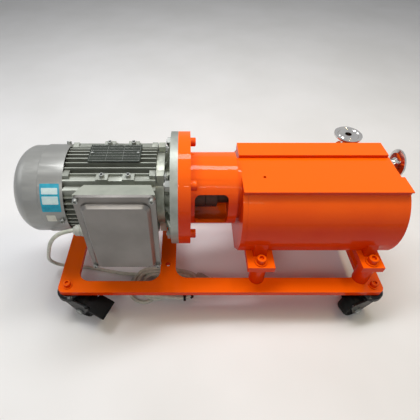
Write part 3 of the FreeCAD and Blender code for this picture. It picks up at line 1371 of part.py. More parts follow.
def caster(corner, x, y, swivel):
    """Swivel fork, wheel and axle of one caster. The wheel trails the swivel axis along local X."""
    turn = Rotation(Z_AXIS, swivel)
    wheel_r = s.wheel_dia / 2
    axle_z = wheel_r - s.caster_rise
    half = s.wheel_width / 2 + s.fork_gap
    crown_z = -s.cup_height - s.rotor_play
    fork = new_body("caster_fork_" + corner, x, y, plate_under)
    crown = new_sketch(fork, "XY_Plane", crown_z)
    circle(crown, 0, 0, s.cup_dia / 2)
    feature(fork, "Pad", crown, s.fork_sheet, back=True, name="crown")
    for side in (-1, 1):
        low = half if side > 0 else -half - s.fork_sheet
        cheek = new_sketch(fork, "XZ_Plane", low)
        eye = wheel_r * 0.42
        top = crown_z - s.fork_sheet / 2
        front = -s.cup_dia * 0.3
        ear_x, ear_z = s.caster_trail + s.pedal_pin_x, axle_z + s.pedal_pin_z
        polygon(cheek, [
            (front, top), (front * 1.05, top - 8), (s.caster_trail - eye, axle_z - 2),
            (s.caster_trail + eye, axle_z - 2, s.caster_trail, axle_z - 2 - eye * 0.8),
            (ear_x + 5, ear_z - 3), (ear_x + 3, ear_z + 4), (s.cup_dia * 0.42, top)])
        feature(fork, "Pad", cheek, s.fork_sheet, name="cheek")
    hole = new_sketch(fork, "XZ_Plane")
    circle(hole, s.caster_trail, axle_z, s.axle_dia / 2)
    feature(fork, "Pocket", hole, s.wheel_width * 2, both=True, name="axle_hole")
    stem_hole = new_sketch(fork, "XY_Plane", crown_z)
    circle(stem_hole, 0, 0, s.caster_screw / 2 + s.rotor_play)
    feature(fork, "Pocket", stem_hole, s.fork_sheet, name="stem_hole")
    if corner.endswith("left"):
        brake_pedal(corner, fork, x, y, turn, axle_z, half)
    fork.Placement.Rotation = turn
    axle_r = s.axle_dia / 2
    wheel = new_body("caster_wheel_" + corner, x + s.caster_trail * cosine(swivel),
                     y + s.caster_trail * sine(swivel), plate_under + axle_z)
    tread = new_sketch(wheel, "XZ_Plane")
    width = s.wheel_width / 2
    hub_r = wheel_r * 0.36
    polygon(tread, [
        (axle_r + s.fit_play, -width), (hub_r, -width), (hub_r + 2, 3 - width), (wheel_r - 6, 3 - width),
        (wheel_r - 5, -width), (wheel_r - 2, -width), (wheel_r, 4 - width), (wheel_r, width - 4),
        (wheel_r - 2, width), (wheel_r - 5, width), (wheel_r - 6, width - 3), (hub_r + 2, width - 3),
        (hub_r, width), (axle_r + s.fit_play, width)])
    revolve(wheel, tread, axis="V_Axis")
    sideways = turn.multiply(Rotation(X_AXIS, 90))
    wheel.Placement.Rotation = sideways
    axle = new_body("caster_axle_" + corner, x + s.caster_trail * cosine(swivel),
                    y + s.caster_trail * sine(swivel), plate_under + axle_z)
    pin = new_sketch(axle, "XZ_Plane")
    end = half + s.fork_sheet
    polygon(pin, [
        (0, -end - 4), (axle_r * 1.4, -end - 4), (axle_r * 1.6, -end - 3), (axle_r * 1.6, -end),
        (axle_r, -end), (axle_r, end), (axle_r * 1.6, end), (axle_r * 1.6, end + 3),
        (axle_r * 1.4, end + 4), (0, end + 4)])
    revolve(axle, pin, axis="V_Axis")
    axle.Placement.Rotation = sideways


def casters():
    for corner, (x, y, swivel) in CASTERS.items():
        caster(corner, x, y, swivel)
    cup = doc.addObject("PartDesign::Body", "caster_cup")
    sketch = new_sketch(cup, "XZ_Plane")
    outer = s.cup_dia / 2
    stem = s.caster_screw / 2
    polygon(sketch, [
        (stem + s.fit_play, 0), (outer - 4, 0), (outer, -3), (outer, -s.cup_height),
        (stem + s.fit_play, -s.cup_height)])
    revolve(cup, sketch, axis="V_Axis")
    spots = [at(x, y, plate_under) for x, y, _ in CASTERS.values()]
    copies("caster_cups", cup, spots)
    screw = cap_screw("caster_screw", s.caster_screw, s.plate_thick + s.cup_height + 6, washer=1)
    spots = [at(x, y, plate_top) for x, y, _ in CASTERS.values()]
    copies("caster_screws", screw, spots)
    foot_screw = cap_screw("foot_screw", s.foot_screw, s.foot_screw * 2.5, washer=1)
    spots = []
    for foot_x, _ in FOOT_SPOTS:
        for side in (-1, 1):
            spots.append(at(foot_x, s.foot_y * side, -s.foot_drop))
    copies("foot_screws", foot_screw, spots)


def build():
    base_frame()
    pump_casing()
    front_end_cover()
    rear_end_cover()
    top_cover()
    stage_plates()
    claw_rotors("drive_rotors", 0, -90)
    claw_rotors("driven_rotors", -s.centre_gap, 90)
    gear("drive_gear", 0, 0)
    gear("driven_gear", -s.centre_gap, 180 / 28)
    pump_shafts()
    bearing_spots = []
    for x in (gear_wall_x, chamber_end):
        for _, z in SHAFTS:
            bearing_spots.append((x, z))
    rings("pump_bearings", bearing_spots, s.pump_bearing_dia / 2, seat_r, s.pump_bearing_width)
    seal_r = shaft_r + s.seal_width
    seal_spots = [(casing_start - s.seal_width, 0)]
    seal_spots += [(chamber_x - s.seal_width, z) for _, z in SHAFTS]
    rings("shaft_seals", seal_spots, seal_r, shaft_r + s.fit_play, s.seal_width)
    bell_housing()
    flange_bolts()
    coupling()
    motor_flange()
    motor_frame()
    motor_rear_shield()
    motor_inside()
    fan_cowl()
    cooling_fan()
    nameplate()
    shield_bolts()
    terminal_box()
    terminal_cover()
    terminal_block()
    small_screws()
    cable_gland()
    cable()
    pipe_stubs()
    casters()


build()
doc.recompute()
for thing in doc.Objects:
    if "Invalid" in thing.State or "Error" in thing.State:
        raise RuntimeError(f"{thing.Label} failed: {thing.State}")
for name, piece in pieces.items():
    if piece.Shape.isNull() or not piece.Shape.isValid():
        raise RuntimeError(f"{name} has no valid shape")
os.makedirs("parts", exist_ok=True)
for name, piece in pieces.items():
    piece.Shape.exportStep(f"parts/{name}.step")
print(len(pieces), "pieces")
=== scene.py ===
"""Looks of the vacuum pump: enamelled castings, painted motor, castors and the motor cable."""
import json
import math

import bpy
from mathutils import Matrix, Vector


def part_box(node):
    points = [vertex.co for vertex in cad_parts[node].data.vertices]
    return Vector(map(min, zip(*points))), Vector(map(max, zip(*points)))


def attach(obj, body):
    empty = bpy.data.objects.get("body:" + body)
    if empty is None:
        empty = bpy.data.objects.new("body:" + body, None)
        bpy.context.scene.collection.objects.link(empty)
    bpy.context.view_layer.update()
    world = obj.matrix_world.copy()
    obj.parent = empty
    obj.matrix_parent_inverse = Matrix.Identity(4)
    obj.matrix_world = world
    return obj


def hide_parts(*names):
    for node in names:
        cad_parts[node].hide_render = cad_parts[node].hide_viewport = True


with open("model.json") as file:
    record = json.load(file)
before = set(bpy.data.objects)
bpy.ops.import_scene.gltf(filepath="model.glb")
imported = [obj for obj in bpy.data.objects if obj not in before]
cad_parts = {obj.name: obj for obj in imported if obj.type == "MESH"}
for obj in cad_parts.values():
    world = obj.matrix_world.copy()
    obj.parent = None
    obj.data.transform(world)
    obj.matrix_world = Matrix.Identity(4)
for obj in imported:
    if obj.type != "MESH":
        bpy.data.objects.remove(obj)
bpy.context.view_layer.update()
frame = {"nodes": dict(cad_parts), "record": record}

MM = 0.001
IMAGE_SIDE = 420
NODES = frame["nodes"]
BODY_OF = {node: body for body, nodes in frame["record"]["behaviour"]["bodies"].items() for node in nodes}

# The machine is drawn about its shaft: the joint of motor and pump at X = 0, the shaft at Z = 0.
SHAFT_ORIGIN = Vector((-58, 0, 205)) * MM
COWL_RADIUS = 78


def spot(x, y, z):
    """A point given in millimetres from the shaft, in metres in the row frame."""
    return SHAFT_ORIGIN + Vector((x, y, z)) * MM


def linear(code):
    """Linear colour of an sRGB hex value."""
    parts = [int(code[i:i + 2], 16) / 255 for i in (1, 3, 5)]
    return tuple(c / 12.92 if c <= 0.04045 else ((c + 0.055) / 1.055) ** 2.4 for c in parts) + (1,)


def add(material, kind, inputs=None, **settings):
    """A node of a material, with its settings, and its inputs as values or as outputs to join."""
    tree = material.node_tree
    node = tree.nodes.new(kind)
    for name, value in settings.items():
        setattr(node, name, value)
    for name, value in (inputs or {}).items():
        if isinstance(value, bpy.types.NodeSocket):
            tree.links.new(value, node.inputs[name])
        else:
            node.inputs[name].default_value = value
    return node


def finish(name, **values):
    """A material with its shader's plain values, given by input name with spaces as underscores."""
    material = bpy.data.materials.new(name)
    material.use_nodes = True
    shader = material.node_tree.nodes["Principled BSDF"]
    for key, value in values.items():
        shader.inputs[key.replace("_", " ")].default_value = value
    return material, shader


def join(material, output, shader, name):
    """Leads a node's output into one of the shader's inputs."""
    material.node_tree.links.new(output, shader.inputs[name])


def grain(material, size, detail=3, stretch=(1, 1, 1)):
    """Noise whose grains are about size millimetres across, longer where stretch is under 1."""
    place = add(material, "ShaderNodeTexCoord").outputs["Object"]
    turned = add(material, "ShaderNodeMapping", {"Vector": place, "Scale": stretch})
    noise = add(material, "ShaderNodeTexNoise",
                {"Vector": turned.outputs[0], "Scale": 1 / (size * MM), "Detail": detail})
    return noise.outputs["Fac"]


def blend_colours(material, shader, factor, low, high, start=0.35, end=0.65):
    """Base colour that runs between two colours along a factor."""
    ramp = add(material, "ShaderNodeValToRGB", {"Fac": factor})
    ramp.color_ramp.elements[0].position = start
    ramp.color_ramp.elements[0].color = linear(low)
    ramp.color_ramp.elements[1].position = end
    ramp.color_ramp.elements[1].color = linear(high)
    join(material, ramp.outputs["Color"], shader, "Base Color")


def relief(material, shader, factor, height, strength=1.0, also=()):
    """Bump of a height in millimetres, on the shader and on its coat where one is named."""
    bump = add(material, "ShaderNodeBump", {"Height": factor, "Distance": height * MM, "Strength": strength})
    for name in ("Normal",) + tuple(also):
        join(material, bump.outputs["Normal"], shader, name)


def orange_enamel():
    """Sprayed two-part machine enamel: a wet gloss whose skin ripples slightly like orange peel.

    Level faces are painted a yellower orange and upright ones a redder one: painted light from above."""
    material, shader = finish("orange_machine_enamel", Roughness=0.5, Specular_IOR_Level=0.03,
                              Coat_Weight=0.35, Coat_Roughness=0.03)
    # Painted light: the base colour runs with the normal's Z, yellower and brighter on faces that look up,
    # redder and darker on upright ones.
    normal = add(material, "ShaderNodeNewGeometry").outputs["Normal"]
    upward = add(material, "ShaderNodeSeparateXYZ", {"Vector": normal}).outputs["Z"]
    level = add(material, "ShaderNodeMapRange", {"Value": upward, "From Min": 0.2, "From Max": 0.95})
    drift = add(material, "ShaderNodeMath", {0: grain(material, 60), 1: 0.3, 2: level.outputs[0]},
                operation="MULTIPLY_ADD")
    blend_colours(material, shader, drift.outputs[0], "#D83400", "#FF6602", 0.1, 1.0)
    relief(material, shader, grain(material, 5, 2), 0.05, also=("Coat Normal",))
    return material


def silver_paint(name, low, high):
    """Aluminium-pigmented machine paint over a casting: satin, with a faint green-grey cast."""
    material, shader = finish(name, Metallic=0.55, Roughness=0.4)
    blend_colours(material, shader, grain(material, 25), low, high)
    relief(material, shader, grain(material, 1.2, 4), 0.04)
    return material


def cowl_paint():
    """The same aluminium paint on smooth pressed sheet, so it gleams more evenly than on the ribs."""
    material, shader = finish("silver_sheet_paint", Metallic=0.5, Roughness=0.36, Coat_Weight=0.2,
                              Coat_Roughness=0.2)
    blend_colours(material, shader, grain(material, 70), "#8F908E", "#989997")
    relief(material, shader, grain(material, 8, 2), 0.03)
    return material


def cover_paint():
    """Warm grey metallic paint on a die-cast cover, which shows soft reflections of the floor."""
    material, shader = finish("cover_metallic_paint", Metallic=0.75, Roughness=0.34)
    blend_colours(material, shader, grain(material, 50), "#787572", "#83807D")
    relief(material, shader, grain(material, 2.5, 3), 0.03)
    return material


def turned_aluminium():
    """Cast aluminium turned bright on a lathe, with rings about the shaft.

    The rings are drawn at 2.6 mm, coarser than a lathe's feed, so that they show."""
    ring_spacing = 2.618
    # A wave texture repeats after pi / (10 * scale) metres.
    ring_scale = math.pi / (10 * ring_spacing * MM)
    material, shader = finish("turned_cast_aluminium", Metallic=0.75, Roughness=0.5)
    place = add(material, "ShaderNodeTexCoord").outputs["Object"]
    centred = add(material, "ShaderNodeMapping", {"Vector": place, "Location": tuple(-SHAFT_ORIGIN)})
    rings = add(material, "ShaderNodeTexWave",
                {"Vector": centred.outputs[0], "Scale": ring_scale, "Distortion": 1.0},
                wave_type="RINGS", rings_direction="X")
    blend_colours(material, shader, grain(material, 30), "#8C918C", "#A4A9A3")
    relief(material, shader, rings.outputs["Fac"], 0.03, 0.5)
    return material


def cast_aluminium():
    """Sand-cast aluminium as it left the mould, pitted at about a millimetre and dull."""
    material, shader = finish("raw_cast_aluminium", Metallic=0.9, Roughness=0.52)
    blend_colours(material, shader, grain(material, 12), "#999C92", "#B3B6AB")
    relief(material, shader, grain(material, 0.9, 5), 0.12)
    return material


def zinc_steel():
    """Bright zinc-plated steel: clean, pale and even, with a soft gleam."""
    material, shader = finish("bright_zinc_plate", Metallic=0.85, Roughness=0.42)
    blend_colours(material, shader, grain(material, 3), "#8E918F", "#A3A5A1")
    return material


def polished_stainless():
    """Mirror-polished stainless steel of the clamp ferrules."""
    material, shader = finish("polished_stainless", Metallic=1.0, Roughness=0.16)
    blend_colours(material, shader, grain(material, 20), "#C9C6C2", "#D6D3CF")
    return material


def turned_steel():
    """Plain turned steel with an oil film."""
    material, shader = finish("turned_steel", Metallic=1.0, Roughness=0.33)
    blend_colours(material, shader, grain(material, 8), "#8C8B88", "#A09F9B")
    return material


def primed_iron():
    """Cast iron under brown primer, as coupling hubs are sold, rough and matt."""
    material, shader = finish("primed_cast_iron", Metallic=0.1, Roughness=0.6)
    blend_colours(material, shader, grain(material, 6), "#3A1D12", "#4B281A")
    relief(material, shader, grain(material, 0.8, 4), 0.1)
    return material


def black_enamel():
    """Stoved black enamel on pressed steel: deep gloss with a soft ripple."""
    material, shader = finish("black_stove_enamel", Roughness=0.4, Specular_IOR_Level=0.06,
                              Coat_Weight=0.45, Coat_Roughness=0.05)
    blend_colours(material, shader, grain(material, 10), "#060607", "#0C0C0D")
    relief(material, shader, grain(material, 4, 2), 0.05, also=("Coat Normal",))
    return material


def black_rubber():
    """Moulded black rubber, satin, with a faint grey bloom."""
    material, shader = finish("moulded_black_rubber", Roughness=0.5, Specular_IOR_Level=0.12)
    blend_colours(material, shader, grain(material, 4, 4), "#0E0E0E", "#181817")
    relief(material, shader, grain(material, 0.7, 4), 0.08)
    return material


def black_nylon():
    """Moulded black nylon with a fine spark-eroded texture."""
    material, shader = finish("black_nylon", Roughness=0.45, Specular_IOR_Level=0.1)
    blend_colours(material, shader, grain(material, 3, 4), "#070708", "#0D0D0E")
    relief(material, shader, grain(material, 0.6, 3), 0.05)
    return material


def grey_nylon():
    """Moulded light grey nylon, slightly translucent and waxy."""
    material, shader = finish("grey_nylon", Roughness=0.4, Subsurface_Weight=0.05, Subsurface_Scale=0.002)
    blend_colours(material, shader, grain(material, 5), "#AAABA2", "#B8B9AE")
    relief(material, shader, grain(material, 0.8, 3), 0.04)
    return material


def cable_sheath():
    """Extruded light grey PVC with a green cast, satin, faintly dusty."""
    material, shader = finish("grey_pvc_sheath", Roughness=0.45)
    blend_colours(material, shader, grain(material, 9, 4), "#B3B6A8", "#C7C9BC")
    relief(material, shader, grain(material, 1.5, 2), 0.05)
    return material


def anodised_plate():
    """Anodised nameplate sheet, dark green-black and bare, with a faint brushed grain."""
    material, shader = finish("dark_anodised_plate", Metallic=0.25, Roughness=0.45, Specular_IOR_Level=0.2)
    blend_colours(material, shader, grain(material, 2, 4, (0.1, 1, 1)), "#262B26", "#30362F")
    return material


def copper():
    """Varnished copper winding wire."""
    material, shader = finish("varnished_copper", Metallic=0.8, Roughness=0.35)
    blend_colours(material, shader, grain(material, 1.2, 2, (0.2, 1, 1)), "#8A4B26", "#A65E33")
    return material


def laminations():
    """Stacked electrical sheet steel, with layers of a millimetre, twice the real ones, so that they show."""
    material, shader = finish("sheet_steel_stack", Metallic=0.8, Roughness=0.5)
    blend_colours(material, shader, grain(material, 1, 1, (1, 0.01, 0.01)), "#4A4B4C", "#6A6B6C")
    return material


def label_film(name, low, high):
    """Bare self-adhesive film, smooth with a faint wrinkle."""
    material, shader = finish(name, Roughness=0.35)
    blend_colours(material, shader, grain(material, 9, 3), low, high)
    relief(material, shader, grain(material, 6, 2), 0.03)
    return material


def cast_polyurethane():
    """Cast dark red polyurethane of the coupling spider, satin."""
    material, shader = finish("cast_polyurethane", Roughness=0.4)
    blend_colours(material, shader, grain(material, 6), "#5A1512", "#6E1D18")
    return material


ENAMEL = orange_enamel()
PAINT = silver_paint("silver_machine_paint", "#8D9189", "#9CA099")
# The terminal box has the motor's silver paint, painted lighter: painted light, for the lamps that fall on
# its top.
LIT_BOX_PAINT = silver_paint("lit_silver_box_paint", "#A3A99F", "#B2B7AC")
SHEET = cowl_paint()
COVER = cover_paint()
TURNED = turned_aluminium()
RAW_CAST = cast_aluminium()
ZINC = zinc_steel()
STAINLESS = polished_stainless()
STEEL = turned_steel()
PRIMED = primed_iron()
BLACK = black_enamel()
RUBBER = black_rubber()
NYLON = black_nylon()
GREY_NYLON = grey_nylon()
SHEATH = cable_sheath()
PLATE = anodised_plate()
COPPER = copper()
STACK = laminations()
SPIDER = cast_polyurethane()
LABEL_BLUE = label_film("blue_label_film", "#0F96B8", "#1BAECD")
LABEL_WHITE = label_film("white_label_film", "#C7E1E6", "#DBF1F3")
LABEL_GREY = label_film("bare_label_film", "#CCCDC3", "#DBDCD2")

CORNERS = ("front_left", "front_right", "back_left", "back_right")

NODE_FINISH = {
    "base_frame": ENAMEL, "pump_casing": ENAMEL, "front_end_cover": ENAMEL, "rear_end_cover": ENAMEL,
    "top_cover": ENAMEL, "bell_housing": ENAMEL, "flange_bolts": ENAMEL, "foot_screws": ENAMEL,
    "caster_screws": ENAMEL, "motor_flange": TURNED, "motor_frame": PAINT, "motor_rear_shield": PAINT,
    "fan_cowl": SHEET, "terminal_box": LIT_BOX_PAINT, "terminal_cover": COVER, "small_screws": ZINC,
    "shield_bolts": ZINC, "nameplate": PLATE, "cable_gland": GREY_NYLON, "cable_plug": GREY_NYLON,
    "cable_tie": NYLON, "inlet_stub": STAINLESS, "outlet_stub": STAINLESS, "caster_cups": BLACK,
    "motor_coupling_hub": PRIMED, "pump_coupling_hub": PRIMED, "coupling_spider": SPIDER,
    "stage_plates": STEEL, "drive_rotors": PRIMED, "driven_rotors": PRIMED, "drive_gear": STEEL,
    "driven_gear": STEEL, "drive_shaft": STEEL, "driven_shaft": STEEL, "pump_bearings": ZINC,
    "shaft_seals": RUBBER, "motor_shaft": STEEL, "rotor_core": STACK, "stator_core": STACK,
    "stator_windings": COPPER, "motor_bearings": ZINC, "cooling_fan": NYLON, "terminal_block": NYLON,
    "cable_lead": SHEATH, "cable_coil": SHEATH,
}
for corner in CORNERS:
    NODE_FINISH["caster_fork_" + corner] = BLACK
    NODE_FINISH["caster_wheel_" + corner] = RUBBER
    NODE_FINISH["caster_axle_" + corner] = ZINC
for corner in ("front_left", "back_left"):
    NODE_FINISH["brake_pedal_" + corner] = NYLON


def dress(piece, material):
    """Gives a piece one finish all over."""
    piece.data.materials.clear()
    piece.data.materials.append(material)


for name, material in NODE_FINISH.items():
    dress(NODES[name], material)


def only(piece):
    """Makes one object the selected and active one."""
    bpy.ops.object.select_all(action="DESELECT")
    piece.select_set(True)
    bpy.context.view_layer.objects.active = piece


def settle(piece, name, material, body="machine"):
    """Applies a piece's place, then gives it its name, its finish and the body that it rides on."""
    only(piece)
    bpy.ops.object.transform_apply(location=True, rotation=True, scale=True)
    piece.name = piece.data.name = name
    dress(piece, material)
    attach(piece, body)
    return piece


def edit_all():
    """Enters edit mode on the active piece with everything selected."""
    bpy.ops.object.mode_set(mode="EDIT")
    bpy.ops.mesh.select_all(action="SELECT")


def edit_where(kind, test):
    """Enters edit mode on the active piece with only the faces, edges or vertices that pass a test."""
    mesh = bpy.context.object.data
    bpy.ops.object.mode_set(mode="EDIT")
    bpy.ops.mesh.select_mode(type=kind)
    bpy.ops.mesh.select_all(action="DESELECT")
    bpy.ops.object.mode_set(mode="OBJECT")
    for part in {"FACE": mesh.polygons, "EDGE": mesh.edges, "VERT": mesh.vertices}[kind]:
        part.select = test(part)
    bpy.ops.object.mode_set(mode="EDIT")


def leave_edit():
    """Leaves edit mode, so that the changes reach the mesh."""
    bpy.ops.object.mode_set(mode="OBJECT")


def apply_modifier(piece, kind, **settings):
    """Adds a modifier to a piece and applies it."""
    only(piece)
    change = piece.modifiers.new(kind.lower(), kind)
    for name, value in settings.items():
        setattr(change, name, value)
    bpy.ops.object.modifier_apply(modifier=change.name)


def join_pieces(first, *others):
    """Joins other objects into the first one."""
    only(first)
    for other in others:
        other.select_set(True)
    bpy.ops.object.join()


# Points closer than the merge gap, in millimetres, are one. Faces that meet at under the flat angle are one
# face, and at under the smooth angle they are shaded as one. Edges over the sharp angle are rounded off.
MERGE_GAP = 0.002
FLAT_ANGLE = math.radians(0.5)
SMOOTH_ANGLE = math.radians(28)
SHARP_ANGLE = math.radians(32)


def softened(node, width):
    """A piece that stands for a CAD node, with its sharp edges rounded off by a width in millimetres."""
    source = NODES[node]
    piece = bpy.data.objects.new("softened", source.data.copy())
    bpy.context.scene.collection.objects.link(piece)
    only(piece)
    edit_all()
    bpy.ops.mesh.remove_doubles(threshold=MERGE_GAP * MM)
    bpy.ops.mesh.dissolve_limited(angle_limit=FLAT_ANGLE)
    leave_edit()
    bpy.ops.object.shade_smooth_by_angle(angle=SMOOTH_ANGLE)
    apply_modifier(piece, "BEVEL", limit_method="ANGLE", angle_limit=SHARP_ANGLE, width=width * MM,
                   segments=2, use_clamp_overlap=True, harden_normals=True)
    settle(piece, node + "_soft", NODE_FINISH[node], BODY_OF[node])
    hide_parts(node)
    return piece


# Rounding of the edges that shine in the photograph, in millimetres.
SOFT_EDGES = {
    "base_frame": 1.6, "pump_casing": 1.8, "front_end_cover": 1.2, "rear_end_cover": 1.4, "top_cover": 1.0,
    "bell_housing": 1.4, "terminal_box": 0.8, "terminal_cover": 0.6, "motor_frame": 0.5,
    "cable_plug": 1.5, "fan_cowl": 0.7, "caster_cups": 0.6, "motor_rear_shield": 0.5,
}
for corner in CORNERS:
    SOFT_EDGES["caster_fork_" + corner] = 0.6
    SOFT_EDGES["caster_wheel_" + corner] = 1.2

soft_pieces = {node: softened(node, width) for node, width in SOFT_EDGES.items()}


# The cable's points in millimetres from the shaft: its free run, and its loops on the floor below.
FREE_RUN = [
    (-169, -98, -3), (-187, -99, -6), (-203.5, -98.5, -18), (-217.5, -94, -38), (-229, -86.5, -63),
    (-240, -76.5, -89), (-250.5, -65.5, -114), (-260, -54.5, -137), (-267, -45, -159), (-264, -38, -181),
    (-248, -33.5, -196.5), (-225, -31.5, -201.5), (-199, -34, -201.5), (-173, -39.5, -201.5),
    (-145, -46, -201.5), (-115, -51, -201.5), (-84, -52.5, -201.5),
]
LOOPS = [
    (-66, -52, -201.5), (-53, -57, -201.5), (-45, -68.5, -201.5), (-43, -84, -201.5), (-46, -100, -201.5),
    (-55, -112, -201.5), (-68, -118, -201.5), (-83, -116, -201.5), (-95, -107.5, -201.5),
    (-102, -95, -201.5), (-103.5, -81, -201.5), (-99, -67.5, -199.5), (-89.5, -58, -195.5),
    (-74, -53, -194.5), (-58, -51.5, -194.5), (-41, -52, -194.5), (-26, -57, -194.5), (-15.5, -68.5, -194.5),
    (-12.5, -84, -194.5), (-16.5, -98.5, -194.5), (-27, -109, -194.5), (-41, -113.5, -194.5),
    (-55, -113, -194.5), (-67, -107, -194.5), (-74.5, -98, -194.5), (-77.5, -87, -194.5),
    (-76, -75.5, -193.5), (-69.5, -66, -191.5), (-59, -60.5, -189),
    (-45, -61, -187.5), (-20, -61, -187.5), (3, -61.2, -187.5), (16, -64.3, -187.5),
    (25, -73, -187.5), (28.2, -85, -187.5), (25, -97, -187.5), (16, -105.8, -187.5), (3, -108.8, -187.5),
    (-20, -106.5, -187.5), (-43, -104, -187.5), (-61, -103, -187.5), (-73.5, -99.5, -187.5),
    (-82.2, -90.6, -187.5), (-85.5, -78.5, -187.5), (-82.2, -66.2, -187.5), (-73.3, -57.5, -187.5),
    (-60, -54.2, -187.5), (-38, -53.8, -187.5), (-15, -53.8, -187.5), (4.5, -53.8, -187.5), (20, -58, -187.5),
    (31.5, -69.4, -187.5), (35.7, -85, -187.5), (31.5, -100.7, -187.5), (20, -112.2, -187.5),
    (4, -116.2, -187.5), (-14, -114, -187.5), (-34, -111.5, -187.5), (-60, -110.3, -187.5),
    (-77, -106, -187.5), (-88.8, -94.5, -187.5), (-93, -78.5, -187.5), (-88.8, -62.4, -187.5),
    (-77, -50.8, -187.5),
    (-61, -46.8, -187.5), (-41, -46.3, -188), (-22, -46, -190.5), (-7, -45.5, -195), (7, -46, -198),
    (19, -49.5, -197.5), (28, -55, -196.4), (36, -60.5, -196.4),
]
CABLE_DIAMETER = 7


def cable():
    """The motor cable as one smooth line from its gland, round four loose loops, to the plug."""
    points = [spot(*point) for point in FREE_RUN + LOOPS]
    curve = bpy.data.curves.new("motor_cable", "CURVE")
    curve.dimensions = "3D"
    curve.bevel_depth = CABLE_DIAMETER / 2 * MM
    curve.bevel_resolution = 4
    curve.resolution_u = 6
    line = curve.splines.new("NURBS")
    line.points.add(len(points) - 1)
    for place, point in zip(points, line.points):
        point.co = tuple(place) + (1,)
    line.order_u = 3
    line.use_endpoint_u = True
    piece = bpy.data.objects.new("motor_cable", curve)
    bpy.context.scene.collection.objects.link(piece)
    curve.materials.append(SHEATH)
    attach(piece, "machine")
    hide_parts("cable_lead", "cable_coil")
    return piece, points[0]


# A cable tie, in millimetres: its band, its lock, its cut off tail, and the two turns of cable that it holds.
BAND_WIDTH = 4.8
BAND_THICKNESS = 1.2
BAND_CORNER = 3
LOCK_SIZE = (6.4, 7, 4.2)
LOCK_SET_BACK = 0.5
LOCK_EDGE = 0.8
TAIL_SIZE = (4.6, 12, BAND_THICKNESS)
TAIL_CORNER = 1.5
TAIL_LIFT = 2
BUNDLE_WIDTH = 17
BUNDLE_HEIGHT = 9


def block(size, middle=(0, 0, 0)):
    """A block to be shaped further, with its size and its middle in millimetres."""
    bpy.ops.mesh.primitive_cube_add(size=MM, location=Vector(middle) * MM, scale=size)
    bpy.ops.object.transform_apply(location=True, rotation=True, scale=True)
    return bpy.context.object


def edges_along(piece, axis):
    """A test that a piece's edge passes where it runs more than a millimetre along an axis."""
    corners = piece.data.vertices
    return lambda edge: abs(corners[edge.vertices[0]].co[axis] - corners[edge.vertices[1]].co[axis]) > MM


def strap(name, middle, turn):
    """A cable tie pulled round the turns of the cable, with its lock and its cut off tail."""
    ring = block((BAND_WIDTH, BUNDLE_WIDTH, BUNDLE_HEIGHT))
    edit_where("EDGE", edges_along(ring, 0))
    bpy.ops.mesh.bevel(offset=BAND_CORNER * MM, segments=5)
    edit_where("FACE", lambda face: abs(face.normal.x) > 0.9)
    bpy.ops.mesh.delete(type="FACE")
    leave_edit()
    apply_modifier(ring, "SOLIDIFY", thickness=BAND_THICKNESS * MM, offset=1)
    lock = block(LOCK_SIZE, (0, -LOCK_SET_BACK, (BUNDLE_HEIGHT + LOCK_SIZE[2]) / 2))
    apply_modifier(lock, "BEVEL", width=LOCK_EDGE * MM, segments=2)
    tail_middle = (LOCK_SIZE[1] + TAIL_SIZE[1]) / 2 - LOCK_SET_BACK
    tail = block(TAIL_SIZE, (0, tail_middle, BUNDLE_HEIGHT / 2 + TAIL_LIFT))
    edit_where("EDGE", edges_along(tail, 2))
    bpy.ops.mesh.bevel(offset=TAIL_CORNER * MM, segments=3)
    leave_edit()
    join_pieces(ring, lock, tail)
    ring.rotation_euler.z = math.radians(turn)
    ring.location = spot(*middle)
    return settle(ring, name, NYLON)


lead, gland_end = cable()
straps = [strap("front_strap", (9.5, -111.3, -187.5), 3), strap("end_strap", (20, -106.8, -187.5), 36)]
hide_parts("cable_tie")


def two_tone(node, test, material):
    """Gives a second finish to the faces of a CAD node whose middles pass a test."""
    piece = NODES[node]
    piece.data.materials.append(material)
    for face in piece.data.polygons:
        if test(face.center / MM - SHAFT_ORIGIN / MM):
            face.material_index = 1


# The four boss screws stand about a middle. The sizes are in millimetres, the places from the shaft.
BOSSES_MIDDLE_X = -100
BOSS_OFF_X = 21
BOSS_OFF_Y = 44
SOCKET_RADIUS = 2.4
SOCKET_TOP_Z = 69.5


def in_boss_screw_socket(place):
    """Whether a place is inside the socket of one of the four screws in the motor's unused foot bosses."""
    off_axis = math.hypot(abs(place.x - BOSSES_MIDDLE_X) - BOSS_OFF_X, abs(place.y) - BOSS_OFF_Y)
    return place.z < SOCKET_TOP_Z and off_axis < SOCKET_RADIUS


# Where the nuts of the flange bolts begin along the shaft, and the cast inside of the motor flange.
NUTS_BEHIND_X = -3
CAST_WITHIN_RADIUS = 98

# The sockets of the boss screws are painted black: painted shade in their recesses.
two_tone("small_screws", in_boss_screw_socket, BLACK)
# The flange bolts were sprayed with the bell, but not their nuts behind the motor flange.
two_tone("flange_bolts", lambda place: place.x < NUTS_BEHIND_X, ZINC)
# Only the rim of the motor flange is turned: its ribs and ring stay as cast.
two_tone("motor_flange", lambda place: math.hypot(place.y, place.z) < CAST_WITHIN_RADIUS, RAW_CAST)


# A label's facets round the cowl in degrees, and its cut corners and film in millimetres.
LABEL_STEP = 2.5
LABEL_CORNER = 1.2
LABEL_FILM = 0.12


def turn_of(place):
    """Turn of a place about the shaft, in degrees from the top towards the front."""
    return math.degrees(math.atan2(-place.y, place.z))


